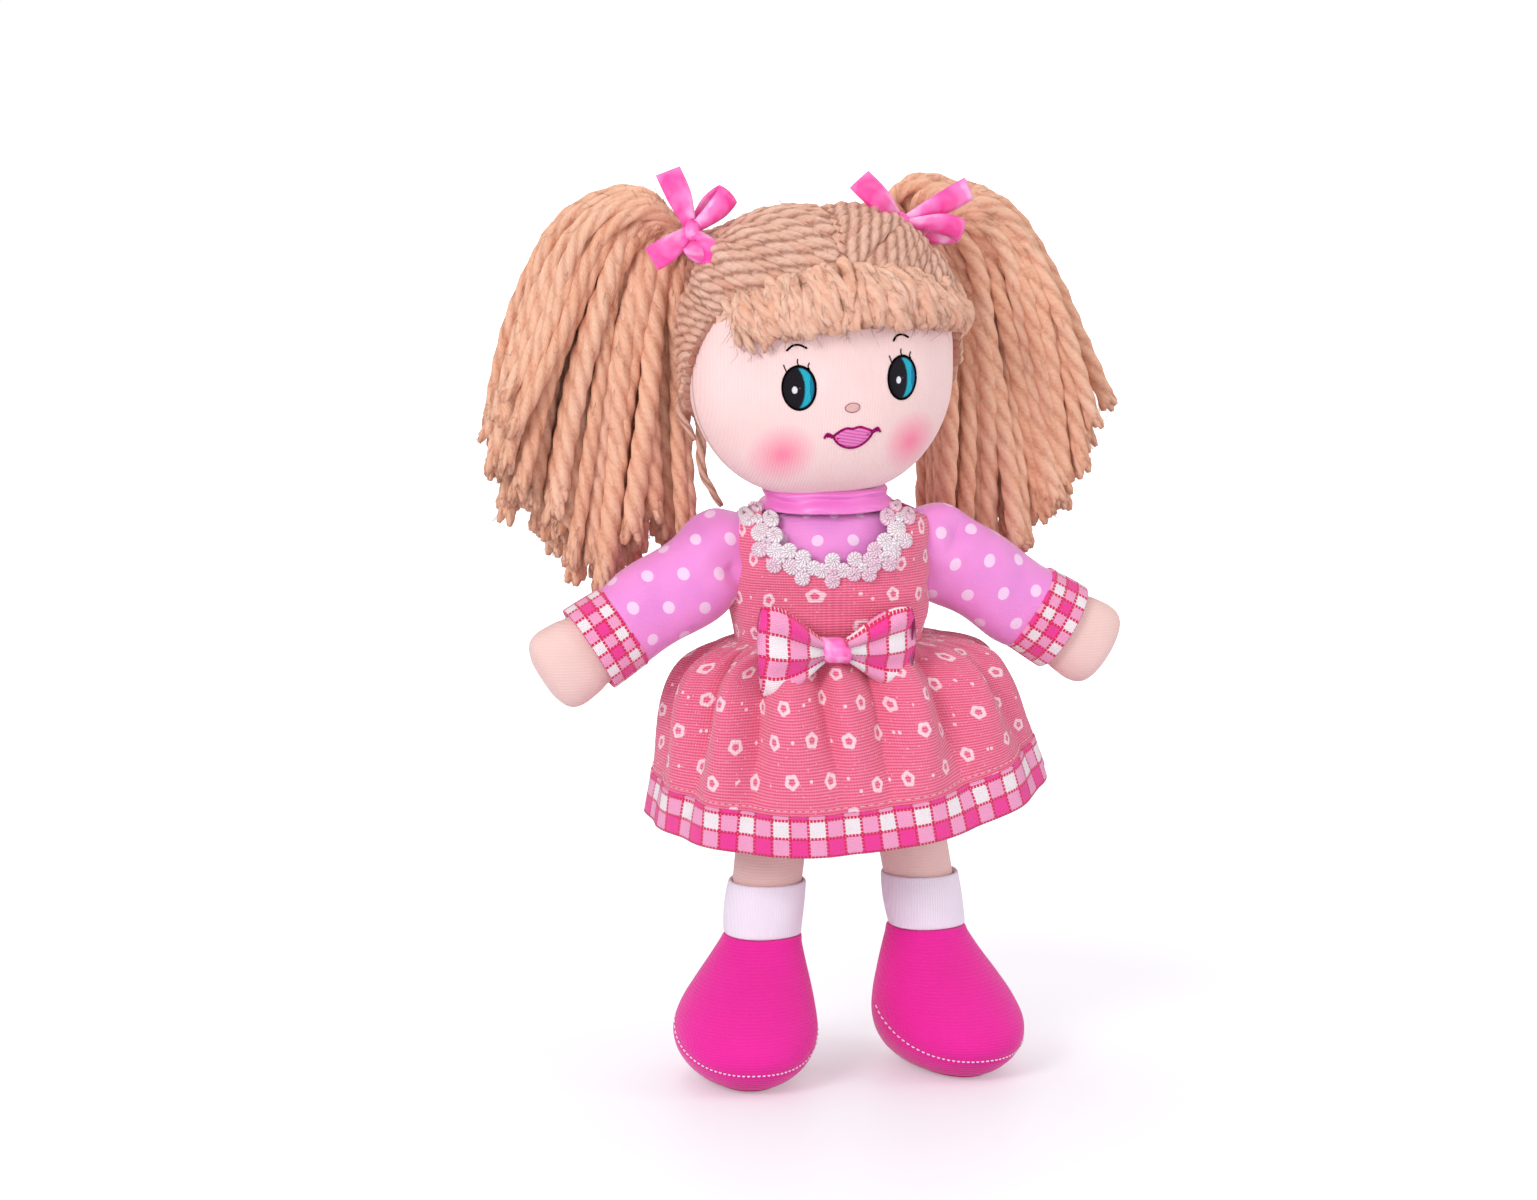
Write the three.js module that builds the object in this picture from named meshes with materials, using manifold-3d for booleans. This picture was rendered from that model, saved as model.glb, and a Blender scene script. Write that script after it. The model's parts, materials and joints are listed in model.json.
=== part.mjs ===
// A talking rag doll that stands by itself: stuffed head, body and limbs, yarn hair in two pigtails,
// a dress over a blouse, and a voice box in the tummy behind a closure at the back.
// Millimetres, +Z up. The doll faces -Y and its left hand is on +X. The floor is z = 0.
import * as THREE from "three";
import { mergeVertices } from "three/addons/utils/BufferGeometryUtils.js";
import Module from "manifold-3d";

const wasm = await Module();
wasm.setup();

// Fits shared by the whole doll, and how many flats make a round
const bigSides = 24;
const midSides = 18;
const smallSides = 12;
const gap = 0.3;
const cloth = 1.2;
const far = 400;

// Heights of the stuffed body, from the crotch up
const crotchHeight = 154.5;
const waistRise = 16.5;
const chestRise = 41.5;
const shoulderRise = 57.5;
const torsoHeight = 69.5;
const waistHeight = crotchHeight + waistRise;
const torsoTop = crotchHeight + torsoHeight;

// Head: a stuffed pillow, wider than it is deep
const headHalfWidth = 52.5;
const headHalfDepth = 39;
const headHalfHeight = 52;
const headRise = 10;
const headBottom = torsoTop + headRise;
const headSquareness = 2.25;
const headRows = 12;
const headMiddle = headBottom + headHalfHeight;

// Neck and collar
const neckHalfWidth = 17;
const neckHalfDepth = 14;
const neckBottom = torsoTop + 2 * gap;
const collarHalfWidth = 24.5;
const collarHalfDepth = 20;
const collarWall = 3;
const collarHeight = 9.5;
const collarLean = 1.5;

// Torso, as half widths from the hips to the neck
const hipHalfWidth = 31;
const waistHalfWidth = 32.5;
const chestHalfWidth = 33.5;
const shoulderHalfWidth = 32.5;
const torsoTopHalfWidth = 21;
const torsoHalfDepth = 24;
const torsoRows = 9;
const torsoSquareness = 2.3;

// Blouse and bodice, two layers of cloth over the torso
const blouseTop = torsoTop - 3;
const bodiceTop = torsoTop - 5;
const bodiceHem = waistHeight + 0.4;
const necklineHalfWidth = 25;
const necklineTop = torsoTop - 2;
const necklineDepth = 21.5;
const backNecklineDepth = 8;
const necklineRoundness = 0.8;
const frontShift = -4;
const laceWidth = 10;
const laceThickness = 1.6;
const laceScallops = 11;
const laceScallopDepth = 1.6;
const laceLap = 3;

// Waist bow
const bowHalfWidth = 32;
const bowHalfHeight = 17;
const bowHalfThickness = 5;
const bowWaist = 4;
const bowHeight = waistHeight + 1;
const bowY = -34;
const bowTilt = 18;
const bowKnotHalfWidth = 4.6;
const bowKnotHalfHeight = 8;
const bowRoomBelow = 60;

// Skirt: a gathered shell in two panels with a band at the hem
const skirtWall = 1.5;
const skirtPuffWidth = 31;
const skirtPuffDepth = 21;
const sidePuffShare = 0.06;
const frontPuffShare = 0.25;
const skirtFlareWidth = 13;
const skirtFlareDepth = 11;
const hemHeight = 102.2;
const hemFrontDrop = 6;
const hemSideRise = 4.2;
const hemLeftRise = 6.5;
const skirtSwing = 7;
const hemBandHeight = 14.5;
const bandLap = 0.2;
const foldCount = 10;
const sidesPerFold = 5;
const foldDepth = 3;

// Arms, measured along the arm from the shoulder seam
const shoulderX = 34.2;
const shoulderZ = crotchHeight + shoulderRise - 2;
const armDrop = 32;
const armLength = 96;
const armholeHalfHeight = 10;
const armholeHalfDepth = 8;
const armHalfHeight = 14.8;
const armHalfDepth = 11;
const wristAt = 66;
const handHalfHeight = 16.8;
const handHalfDepth = 11.5;
const sleeveEnd = 58;
const sleeveRoot = 20;
const sleeveHalfHeight = 17.6;
const sleeveHalfDepth = 13.4;
const sleeveEndHalfHeight = 16.6;
const sleeveEndHalfDepth = 12.8;
const cuffLength = 15.5;
const cuffThickness = 1.4;
const cuffFlare = 0.6;

// Legs, socks and shoes
const lowerShift = 3;
const hipX = 21;
const thighLift = 10;
const hipRadius = 14;
const hipZ = crotchHeight - hipRadius - 0.5;
const ankleX = 32;
const ankleY = -8;
const ankleZ = 55;
const ankleRadius = 13.4;
const sockHeight = 20;
const sockWall = 1;
const sockLean = 2.2;
const sockTopRadius = 14;
const toeSplay = 7;
const shoeSpread = 5;
const shoeHalfWidth = 28.5;
const shoeHalfLength = 38;
const shoeMiddleY = -24;
const shoeWidestHeight = 14;
const soleThickness = 2;
const soleInset = 3;
const soleRounding = 1.5;
const shoeSquareness = 2.15;

// Hair
const hairThickness = 6;
const frontHairline = headMiddle + 25;
const sideHairlineY = -16;
const napeHairlineY = 6;
const backHairline = headMiddle - 34;
const fringeHalfWidth = 45;
const fringeMiddleX = 3;
const fringeHeight = headMiddle + 20;
const fringeRise = 5;
const fringeHalfHeight = 11.5;
const fringeEndHalfHeight = 6.5;
const fringeThickness = 8;
const tieX = 47;
const tieY = 33;
const tieZ = headMiddle + 41;
const tieRadius = 8;
const tieWidth = 5;
const tieWall = 1.6;
const tieBite = 2.4;
const gatherRadius = 17;
const gatherLength = 24;

// Pigtails: a fan of yarn from the tie, over a crest and down behind the arm
const fanDrop = 93;
const crestX = 76;
const crestZ = tieZ + 18;
const crestHalfWidth = 16;
const fanX = 89;
const fanZ = crestZ - fanDrop;
const fanHalfWidth = 43;
const tailHalfDepth = 20;
const tailY = 41;
const tipX = 76;
const tipHalfWidth = 27;
const rightTipZ = fanZ - 58;
const leftTipZ = fanZ - 46;

// Hair bows
const ribbonHalfWidth = 4.6;
const ribbonHalfThickness = 0.9;
const hairBowY = 19;
const rightBowX = -48;
const leftBowX = 38;
const rightBowZ = tieZ + 1;
const leftBowZ = tieZ + 5;
const hairKnotRadius = 5;
const leftBowEnds = [[-18, 18], [25, 14], [22, -5]];
const rightBowEnds = [[-11, 26], [16, 17], [-16, -8], [2, -11]];

// Embroidery, as places on the face
const threadThickness = 0.6;
const eyeX = 21.5;
const eyeZ = headMiddle - 7;
const eyeHalfWidth = 6.3;
const eyeHalfHeight = 8.6;
const browZ = headMiddle + 8;
const browHalfWidth = 4;
const browArch = 3.8;
const browWidth = 0.9;
const noseZ = headMiddle - 18;
const noseHalfWidth = 3;
const noseHalfHeight = 1.8;
const mouthCornerZ = headMiddle - 27.9;
const mouthHalfWidth = 8.2;

// Voice box: a round case whose axis runs front to back through the tummy
const voiceZ = waistHeight + 17;
const caseFrontY = 2;
const caseRadius = 20.3;
const caseWall = 1.6;
const speakerRadius = 9;
const speakerDepth = 4.5;
const speakerDrop = 7.3;
const soundHoleRadius = 0.8;
const soundHoleRing = 5;
const buttonRise = 8.6;
const buttonCapRadius = 7;
const buttonCapHeight = 3;
const buttonStemRadius = 3.4;
const buttonTravel = 1.2;
const boardThickness = 1;
const boardY = 8.8;
const switchSize = 6;
const plungerRadius = 1.6;
const cellRadius = 5.8;
const cellThickness = 5.4;
const cellRing = 6.9;
const contactThickness = 0.4;
const doorRadius = 13.4;
const doorThickness = 1.6;
const tabInset = 3.4;
const tabWidth = 2.2;
const tabReach = 15;
const tabRoot = 12;
const bossRadius = 2;
const screwRadius = 0.7;
const screwHeadRadius = 1.5;
const screwHeadHeight = 1;
const doorScrewRise = 11.2;
const leadWidth = 1.2;

const degrees = Math.PI / 180;
const tieBoreRadius = tieRadius + tieBite;
const tieOuterRadius = tieBoreRadius + tieWall;
const caseInnerRadius = caseRadius - caseWall;
const bossRing = caseInnerRadius - bossRadius - gap;
const casePartingY = boardY + boardThickness / 2;
const frontPlateY = caseFrontY + caseWall;
const speakerY = frontPlateY + gap;
const cellY = boardY + boardThickness + contactThickness + 2 * gap;
const doorContactY = cellY + cellThickness + gap;
const doorY = doorContactY + contactThickness + gap;
const caseBackY = doorY + doorThickness;
const headSeatY = caseBackY - screwHeadHeight - gap;

// Materials
function fabric(name, colour, roughness) {
  return new THREE.MeshStandardMaterial({ name, color: colour, roughness, metalness: 0 });
}
function hard(name, colour, roughness, metalness) {
  return new THREE.MeshStandardMaterial({ name, color: colour, roughness, metalness });
}
const knit = fabric("skin_knit", 0xf0d3c6, 0.85);
const yarn = fabric("yarn", 0xd9a982, 0.9);
const satin = fabric("blouse_satin", 0xee82cf, 0.45);
const dressWeave = fabric("dress_weave", 0xde5f78, 0.9);
const gingham = fabric("gingham", 0xff9cc8, 0.85);
const lace = fabric("lace", 0xfaf0f5, 0.9);
const ribbon = fabric("ribbon_satin", 0xff55b4, 0.4);
const sockKnit = fabric("sock_knit", 0xf2e6f7, 0.85);
const shoeKnit = fabric("shoe_knit", 0xf0199e, 0.8);
const blackThread = fabric("black_thread", 0x17141a, 0.6);
const mouthThread = fabric("mouth_thread", 0xc2309a, 0.6);
const noseThread = fabric("nose_thread", 0xe8a5a0, 0.6);
const elastic = fabric("elastic", 0xc98d6a, 0.8);
const closureTape = fabric("closure_tape", 0xf4efe9, 0.95);
const casePlastic = hard("case_plastic", 0xf2f0ea, 0.5, 0);
const buttonPlastic = hard("button_plastic", 0xe8413a, 0.4, 0);
const switchPlastic = hard("switch_plastic", 0x222226, 0.5, 0);
const boardLaminate = hard("board_laminate", 0x1f6b3a, 0.5, 0);
const conePaper = hard("cone_paper", 0x2a2a2c, 0.9, 0);
const steel = hard("steel", 0xb8babd, 0.3, 1);
const leadSleeve = hard("lead_sleeve", 0xb3262a, 0.5, 0);

// A geometry as a solid that can be joined and cut
function solidOf(geometry) {
  const plain = geometry.clone();
  plain.deleteAttribute("normal");
  plain.deleteAttribute("uv");
  const merged = mergeVertices(plain, 1e-4);
  const vertProperties = new Float32Array(merged.attributes.position.array);
  const triVerts = new Uint32Array(merged.index.array);
  return new wasm.Manifold(new wasm.Mesh({ numProp: 3, vertProperties, triVerts }));
}

function geometryOf(solid) {
  const mesh = solid.getMesh();
  const geometry = new THREE.BufferGeometry();
  geometry.setAttribute("position", new THREE.BufferAttribute(mesh.vertProperties, 3));
  geometry.setIndex(new THREE.BufferAttribute(mesh.triVerts, 1));
  const flat = geometry.toNonIndexed();
  flat.computeVertexNormals();
  return flat;
}

const doll = new THREE.Group();
doll.name = "talking_doll";

function add(name, solid, material) {
  const mesh = new THREE.Mesh(geometryOf(solid), material);
  mesh.name = name;
  doll.add(mesh);
  return mesh;
}

// A closed body through rings that all have the same number of points
function skin(rings) {
  const sides = rings[0].length;
  const points = rings.flat();
  const faces = [];
  for (let r = 0; r + 1 < rings.length; r++) {
    for (let i = 0; i < sides; i++) {
      const a = r * sides + i;
      const b = r * sides + ((i + 1) % sides);
      faces.push(a, b, b + sides, a, b + sides, a + sides);
    }
  }
  const ends = [
    [0, true],
    [rings.length - 1, false],
  ];
  for (const [r, first] of ends) {
    const centre = new THREE.Vector3();
    rings[r].forEach((p) => centre.addScaledVector(p, 1 / sides));
    points.push(centre);
    for (let i = 0; i < sides; i++) {
      const a = r * sides + i;
      const b = r * sides + ((i + 1) % sides);
      faces.push(...(first ? [points.length - 1, b, a] : [points.length - 1, a, b]));
    }
  }
  return closedGeometry(points, faces);
}

function closedGeometry(points, faces) {
  let volume = 0;
  for (let f = 0; f < faces.length; f += 3) {
    const [a, b, c] = [points[faces[f]], points[faces[f + 1]], points[faces[f + 2]]];
    volume += a.dot(b.clone().cross(c));
  }
  if (volume < 0) faces.reverse();
  const geometry = new THREE.BufferGeometry().setFromPoints(points);
  geometry.setIndex(faces);
  return geometry;
}

// An oval ring round a centre, in the plane of two directions; more squareness makes it boxier
function oval(centre, across, along, sides, squareness = 2) {
  const ring = [];
  for (let i = 0; i < sides; i++) {
    const turn = (2 * Math.PI * i) / sides;
    const c = Math.cos(turn);
    const s = Math.sin(turn);
    const share = 2 / squareness;
    const u = Math.sign(c) * Math.abs(c) ** share;
    const v = Math.sign(s) * Math.abs(s) ** share;
    ring.push(centre.clone().addScaledVector(across, u).addScaledVector(along, v));
  }
  return ring;
}

// A stuffed pillow with rounded ends
function pillow(centre, half, sides, rows, squareness = 2) {
  const rings = [];
  for (let r = 0; r < rows; r++) {
    const lift = ((r + 0.5) / rows - 0.5) * Math.PI;
    const share = 2 / squareness;
    const reach = Math.cos(lift) ** share;
    const z = Math.sign(lift) * Math.abs(Math.sin(lift)) ** share;
    const middle = new THREE.Vector3(centre[0], centre[1], centre[2] + z * half[2]);
    const across = new THREE.Vector3(half[0] * reach, 0, 0);
    const along = new THREE.Vector3(0, half[1] * reach, 0);
    rings.push(oval(middle, across, along, sides));
  }
  return solidOf(skin(rings));
}

// Smooth values between a few stations, each a list of numbers that starts with the place
function smooth(stations, steps) {
  const rows = [];
  for (let i = 0; i < steps; i++) {
    const at = (i / (steps - 1)) * (stations.length - 1);
    const k = Math.min(Math.floor(at), stations.length - 2);
    const t = at - k;
    const before = stations[Math.max(k - 1, 0)];
    const after = stations[Math.min(k + 2, stations.length - 1)];
    rows.push(
      stations[k].map((value, n) => {
        const start = (stations[k + 1][n] - before[n]) / 2;
        const end = (after[n] - value) / 2;
        const t2 = t * t;
        const t3 = t2 * t;
        const a = (2 * t3 - 3 * t2 + 1) * value + (t3 - 2 * t2 + t) * start;
        return a + (3 * t2 - 2 * t3) * stations[k + 1][n] + (t3 - t2) * end;
      }),
    );
  }
  return rows;
}

function block(low, high) {
  const size = high.map((h, n) => h - low[n]);
  const box = new THREE.BoxGeometry(...size);
  box.translate(low[0] + size[0] / 2, low[1] + size[1] / 2, low[2] + size[2] / 2);
  return solidOf(box);
}

// A round bar along Y between two depths
function bar(radius, x, z, y0, y1, sides = smallSides) {
  const cylinder = new THREE.CylinderGeometry(radius, radius, y1 - y0, sides);
  cylinder.translate(x, (y0 + y1) / 2, z);
  return solidOf(cylinder);
}

// An outline in the front view, pushed through between two depths
function through(shape, y0, y1, curveSegments = 12) {
  const plate = new THREE.ExtrudeGeometry(shape, {
    depth: y1 - y0,
    bevelEnabled: false,
    curveSegments,
  });
  plate.rotateX(90 * degrees);
  plate.translate(0, y1, 0);
  return solidOf(plate);
}

// A body of level ovals; each row is height, middle x, middle y, half width and half depth
function stack(stations, steps, sides, squareness = 2) {
  const rows = smooth(stations, steps);
  return solidOf(
    skin(
      rows.map(([z, x, y, width, depth]) => {
        const middle = new THREE.Vector3(x, y, z);
        return oval(
          middle,
          new THREE.Vector3(width, 0, 0),
          new THREE.Vector3(0, depth, 0),
          sides,
          squareness,
        );
      }),
    ),
  );
}

// A body along a path in the front view; each row is x, y, z, half width across the path, half depth
function sweep(stations, steps, sides, squareness = 2) {
  const rows = smooth(stations, steps);
  const rings = rows.map(([x, y, z, width, depth], r) => {
    const before = rows[Math.max(r - 1, 0)];
    const after = rows[Math.min(r + 1, rows.length - 1)];
    const across = new THREE.Vector3(before[2] - after[2], 0, after[0] - before[0]);
    across.normalize().multiplyScalar(width);
    return oval(new THREE.Vector3(x, y, z), across, new THREE.Vector3(0, depth, 0), sides, squareness);
  });
  return solidOf(skin(rings));
}

// Torso, with each cloth layer over it as a grown copy of the same form
const blouseOuter = gap + cloth;
const bodiceInner = blouseOuter + gap;
const bodiceOuter = bodiceInner + cloth;

function torsoForm(grow) {
  const stations = [
    [crotchHeight - grow, hipHalfWidth * 0.85, torsoHalfDepth * 0.55],
    [crotchHeight + 5, hipHalfWidth, torsoHalfDepth * 0.85],
    [waistHeight, waistHalfWidth, torsoHalfDepth * 0.96],
    [crotchHeight + chestRise, chestHalfWidth, torsoHalfDepth],
    [crotchHeight + shoulderRise, shoulderHalfWidth, torsoHalfDepth * 0.86],
    [torsoTop - 3, torsoTopHalfWidth * 1.25, torsoHalfDepth * 0.72],
    [torsoTop + grow, torsoTopHalfWidth * 0.9, torsoHalfDepth * 0.6],
  ];
  const rows = stations.map(([z, width, depth]) => [z, 0, 0, width + grow, depth + grow]);
  return stack(rows, torsoRows, bigSides, torsoSquareness);
}

function voiceBar(radius, x, z, y0, y1, sides) {
  return bar(radius, x, voiceZ + z, y0, y1, sides);
}

const buttonCapBackY = caseFrontY - gap - buttonTravel;
const buttonCapFrontY = buttonCapBackY - buttonCapHeight;

// Room for a thigh that is lifted past level, cut from the underside of the torso
function thighRoom(side) {
  const radius = hipRadius + gap;
  const x = side * hipX + lowerShift;
  const thigh = bar(radius, x, hipZ, -far, 0, midSides).translate([0, 0, -hipZ]);
  return thigh.rotate([-thighLift, 0, 0]).translate([0, 0, hipZ]);
}

function torso() {
  const pocket = voiceBar(caseRadius + gap, 0, 0, caseFrontY - gap, far, bigSides);
  const capRoom = voiceBar(buttonCapRadius + gap, 0, buttonRise, buttonCapFrontY - gap, far);
  let body = torsoForm(0).subtract(pocket).subtract(capRoom);
  for (const side of [-1, 1]) body = body.subtract(thighRoom(side));
  add("torso", body, knit);
  const mouth = voiceBar(caseRadius, 0, 0, caseBackY + gap, far, bigSides);
  add("back_closure", torsoForm(0).intersect(mouth), closureTape);
}

// The place of a point on the arm's middle line, at a distance from the shoulder seam
function onArm(side, at) {
  const x = shoulderX + at * Math.cos(armDrop * degrees);
  return [side * x, 0, shoulderZ - at * Math.sin(armDrop * degrees)];
}

// A body along the arm; each row is the place along it, half height and half depth
function armSweep(side, rows, steps, squareness) {
  const stations = rows.map(([at, height, depth]) => [...onArm(side, at), height, depth]);
  return sweep(stations, steps, midSides, squareness);
}

const sleeveSquareness = 2.2;

function sleeveForm(side, grow, start, end) {
  const rows = [
    [start, sleeveHalfHeight + grow, sleeveHalfDepth + grow],
    [end, sleeveEndHalfHeight + grow, sleeveEndHalfDepth + grow],
  ];
  return armSweep(side, rows, 2, sleeveSquareness);
}

function arm(side, name) {
  const rows = [
    [gap, 2, 3],
    [5, 3.6, 5],
    [10, 6.5, 7.5],
    [20, 13.6, 10.4],
    [32, armHalfHeight, armHalfDepth],
    [wristAt - 8, armHalfHeight, armHalfDepth],
    [wristAt + 6, armHalfHeight * 1.02, armHalfDepth],
    [armLength - 14, handHalfHeight, handHalfDepth],
    [armLength - 5, handHalfHeight * 0.8, handHalfDepth * 0.8],
    [armLength, handHalfHeight * 0.36, handHalfDepth * 0.4],
  ];
  add(name + "_arm", armSweep(side, rows, 13, 2.1), knit);

  const sleeveInner = sleeveForm(side, -cloth, -sleeveRoot, sleeveEnd + 1);
  const blouse = torsoForm(blouseOuter + gap);
  const sleeve = sleeveForm(side, 0, -2, sleeveEnd).subtract(sleeveInner).subtract(blouse);
  add(name + "_sleeve", sleeve, satin);

  const cuffStart = sleeveEnd + gap;
  const cuffFinish = cuffStart + cuffLength;
  const cuffForm = (start, end, grow, endGrow) => {
    const cuffRows = [
      [start, sleeveEndHalfHeight + grow, sleeveEndHalfDepth + grow],
      [end, sleeveEndHalfHeight + endGrow, sleeveEndHalfDepth + endGrow],
    ];
    return armSweep(side, cuffRows, 2, sleeveSquareness);
  };
  const cuff = cuffForm(cuffStart, cuffFinish, cuffFlare, cuffFlare);
  const bore = cuffForm(cuffStart - 1, cuffFinish + 1, -cuffThickness, 1 - cuffThickness);
  add(name + "_cuff", cuff.subtract(bore), gingham);
}

// An open-ended layer of cloth between two grown copies of the torso
function torsoLayer(inner, outer, low, high) {
  const slab = block([-far, -far, low], [far, far, high]);
  return torsoForm(outer).subtract(torsoForm(inner)).intersect(slab);
}

// The neckline's U in the front view, as an outline of one width
function necklineShape(halfWidth, depth, scallop = 0) {
  const shape = new THREE.Shape();
  const steps = scallop ? laceScallops * 4 : 14;
  shape.moveTo(frontShift - halfWidth, far);
  for (let i = 0; i <= steps; i++) {
    const turn = (Math.PI * i) / steps;
    const wave = scallop * Math.abs(Math.sin(laceScallops * turn));
    const c = Math.cos(turn);
    const across = Math.sign(c) * Math.abs(c) ** necklineRoundness;
    const down = Math.sin(turn) ** necklineRoundness;
    shape.lineTo(frontShift - (halfWidth + wave) * across, necklineTop - (depth + wave) * down);
  }
  shape.lineTo(frontShift + halfWidth, far);
  return shape;
}

function blouse() {
  let shell = torsoLayer(gap, blouseOuter, bodiceHem, blouseTop);
  for (const side of [-1, 1]) {
    const rows = [-12, 12].map((at) => [at, armholeHalfHeight, armholeHalfDepth]);
    shell = shell.subtract(armSweep(side, rows, 2));
  }
  add("blouse_body", shell, satin);

  const low = blouseTop + gap;
  const high = low + collarHeight;
  const form = (inset) => {
    const width = collarHalfWidth - inset;
    const depth = collarHalfDepth - inset;
    const rows = [
      [low - inset, 0, 0, width, depth],
      [high + inset, 0, 0, width - collarLean, depth - collarLean],
    ];
    return stack(rows, 2, bigSides);
  };
  const tube = form(0).subtract(form(collarWall));
  add("collar", tube.subtract(torsoForm(gap)), satin);
}

function bodice() {
  const opening = necklineHalfWidth - laceLap;
  const front = through(necklineShape(opening, necklineDepth - laceLap), -far, 0);
  const back = through(necklineShape(opening, backNecklineDepth), 0, far);
  const sleeveRoom = (side) => sleeveForm(side, gap, -sleeveRoot, sleeveEnd);
  const sleeves = sleeveRoom(-1).add(sleeveRoom(1));
  const shell = torsoLayer(bodiceInner, bodiceOuter, bodiceHem, bodiceTop);
  add("bodice", shell.subtract(front).subtract(back).subtract(sleeves), dressWeave);

  const half = laceWidth / 2;
  const outward = half - 1;
  const outline = necklineShape(necklineHalfWidth + outward, necklineDepth + outward, laceScallopDepth);
  const bandOuter = through(outline, -far, -2);
  const bandInner = through(necklineShape(necklineHalfWidth - half, necklineDepth - half), -far, 0);
  const laceInner = bodiceOuter + gap;
  const trim = torsoLayer(laceInner, laceInner + laceThickness, crotchHeight, bodiceTop);
  add("lace_trim", trim.intersect(bandOuter).subtract(bandInner).subtract(sleeves), lace);
}

// Height of the hem round the skirt; the turn is 0 at the front and grows towards the doll's left
function hemZ(turn) {
  return (
    hemHeight -
    hemFrontDrop * Math.cos(turn) -
    hemSideRise * Math.cos(2 * turn) +
    hemLeftRise * Math.sin(turn)
  );
}

const skirtTop = bodiceHem - gap;

function skirtPoint(turn, z, grow) {
  const share = (skirtTop - z) / (skirtTop - hemZ(turn));
  const puffed = 1 - Math.exp(-share / sidePuffShare);
  const frontPuffed = 1 - Math.exp(-share / frontPuffShare);
  const folds = foldDepth * Math.sin(foldCount * turn) * Math.sin(Math.PI * (0.08 + 0.7 * share));
  const width = waistHalfWidth + bodiceOuter + skirtPuffWidth * puffed + skirtFlareWidth * share;
  const depth =
    torsoHalfDepth * 0.96 + bodiceOuter + skirtPuffDepth * frontPuffed + skirtFlareDepth * share;
  const s = Math.sin(turn);
  const c = Math.cos(turn);
  const reach = 0.9;
  const x = (width + folds + grow) * Math.sign(s) * Math.abs(s) ** reach + skirtSwing * share;
  const y = -(depth + folds + grow) * Math.sign(c) * Math.abs(c) ** reach;
  return new THREE.Vector3(x, y, z);
}

// Rings between two heights, each height being a share of the way down from the waist
function skirtRings(heightOf, shares, grow) {
  return shares.map((share) => {
    const ring = [];
    const sides = foldCount * sidesPerFold;
    for (let i = 0; i < sides; i++) {
      const turn = (2 * Math.PI * i) / sides;
      ring.push(skirtPoint(turn, heightOf(turn, share), grow));
    }
    return ring;
  });
}

// A tube wall: the outer rings down, then the inner rings up, closed round
function wall(outer, inner) {
  const rings = [...outer, ...inner.reverse()];
  const sides = rings[0].length;
  const faces = [];
  rings.forEach((ring, r) => {
    const next = (r + 1) % rings.length;
    for (let i = 0; i < sides; i++) {
      const j = (i + 1) % sides;
      const [a, b] = [r * sides + i, r * sides + j];
      const [d, c] = [next * sides + i, next * sides + j];
      faces.push(a, b, c, a, c, d);
    }
  });
  return solidOf(closedGeometry(rings.flat(), faces));
}

function skirt() {
  const panelShares = [0, 0.05, 0.13, 0.3, 0.6, 1];
  const panelHeight = (turn, share) => skirtTop + share * (hemZ(turn) + hemBandHeight - skirtTop);
  const bandHeight = (turn, share) => hemZ(turn) + (1 - share) * (hemBandHeight - gap);
  const panels = wall(
    skirtRings(panelHeight, panelShares, 0),
    skirtRings(panelHeight, panelShares, -skirtWall),
  );
  const band = wall(
    skirtRings(bandHeight, [0, 1], bandLap),
    skirtRings(bandHeight, [0, 1], -skirtWall),
  );
  const front = block([-far, -far, 0], [far, -gap / 2, far]);
  const back = block([-far, gap / 2, 0], [far, far, far]);
  add("skirt_front", panels.intersect(front), dressWeave);
  add("skirt_front_hem", band.intersect(front), gingham);
  add("skirt_back", panels.intersect(back), dressWeave);
  add("skirt_back_hem", band.intersect(back), gingham);
}

// The waist bow: two pleated loops drawn together in a knot, leaning on the top of the skirt
function waistBow() {
  const form = (grow) => {
    const stations = [
      [-1, 0.93, 0.35],
      [-0.8, 1, 0.9],
      [-0.45, 0.8, 1],
      [-0.16, 0.42, 0.7],
      [0, bowWaist / bowHalfHeight, 0.5],
      [0.16, 0.42, 0.7],
      [0.45, 0.8, 1],
      [0.8, 1, 0.9],
      [1, 0.93, 0.35],
    ].map(([x, height, depth]) => [
      x * (bowHalfWidth + grow),
      0,
      0,
      height * bowHalfHeight + grow,
      depth * bowHalfThickness + grow,
    ]);
    return sweep(stations, 11, smallSides + 2);
  };
  const seat = (solid) => solid.rotate([bowTilt, 0, 0]).translate([frontShift, bowY, bowHeight]);
  const below = (turn, share) => skirtTop - bowRoomBelow * share;
  const skirtSolid = solidOf(skin(skirtRings(below, [0, 0.05, 0.12, 0.25, 0.5, 1], gap)));
  const clear = (solid) => solid.subtract(torsoForm(bodiceOuter + gap)).subtract(skirtSolid);
  add("waist_bow", clear(seat(form(0))), gingham);
  const knotHalf = [bowKnotHalfWidth, bowHalfThickness + 1.5, bowKnotHalfHeight];
  const knot = pillow([0, 0, 0], knotHalf, smallSides, 5, 2.6);
  add("waist_bow_knot", clear(seat(knot).subtract(seat(form(gap)))), ribbon);
}

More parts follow.
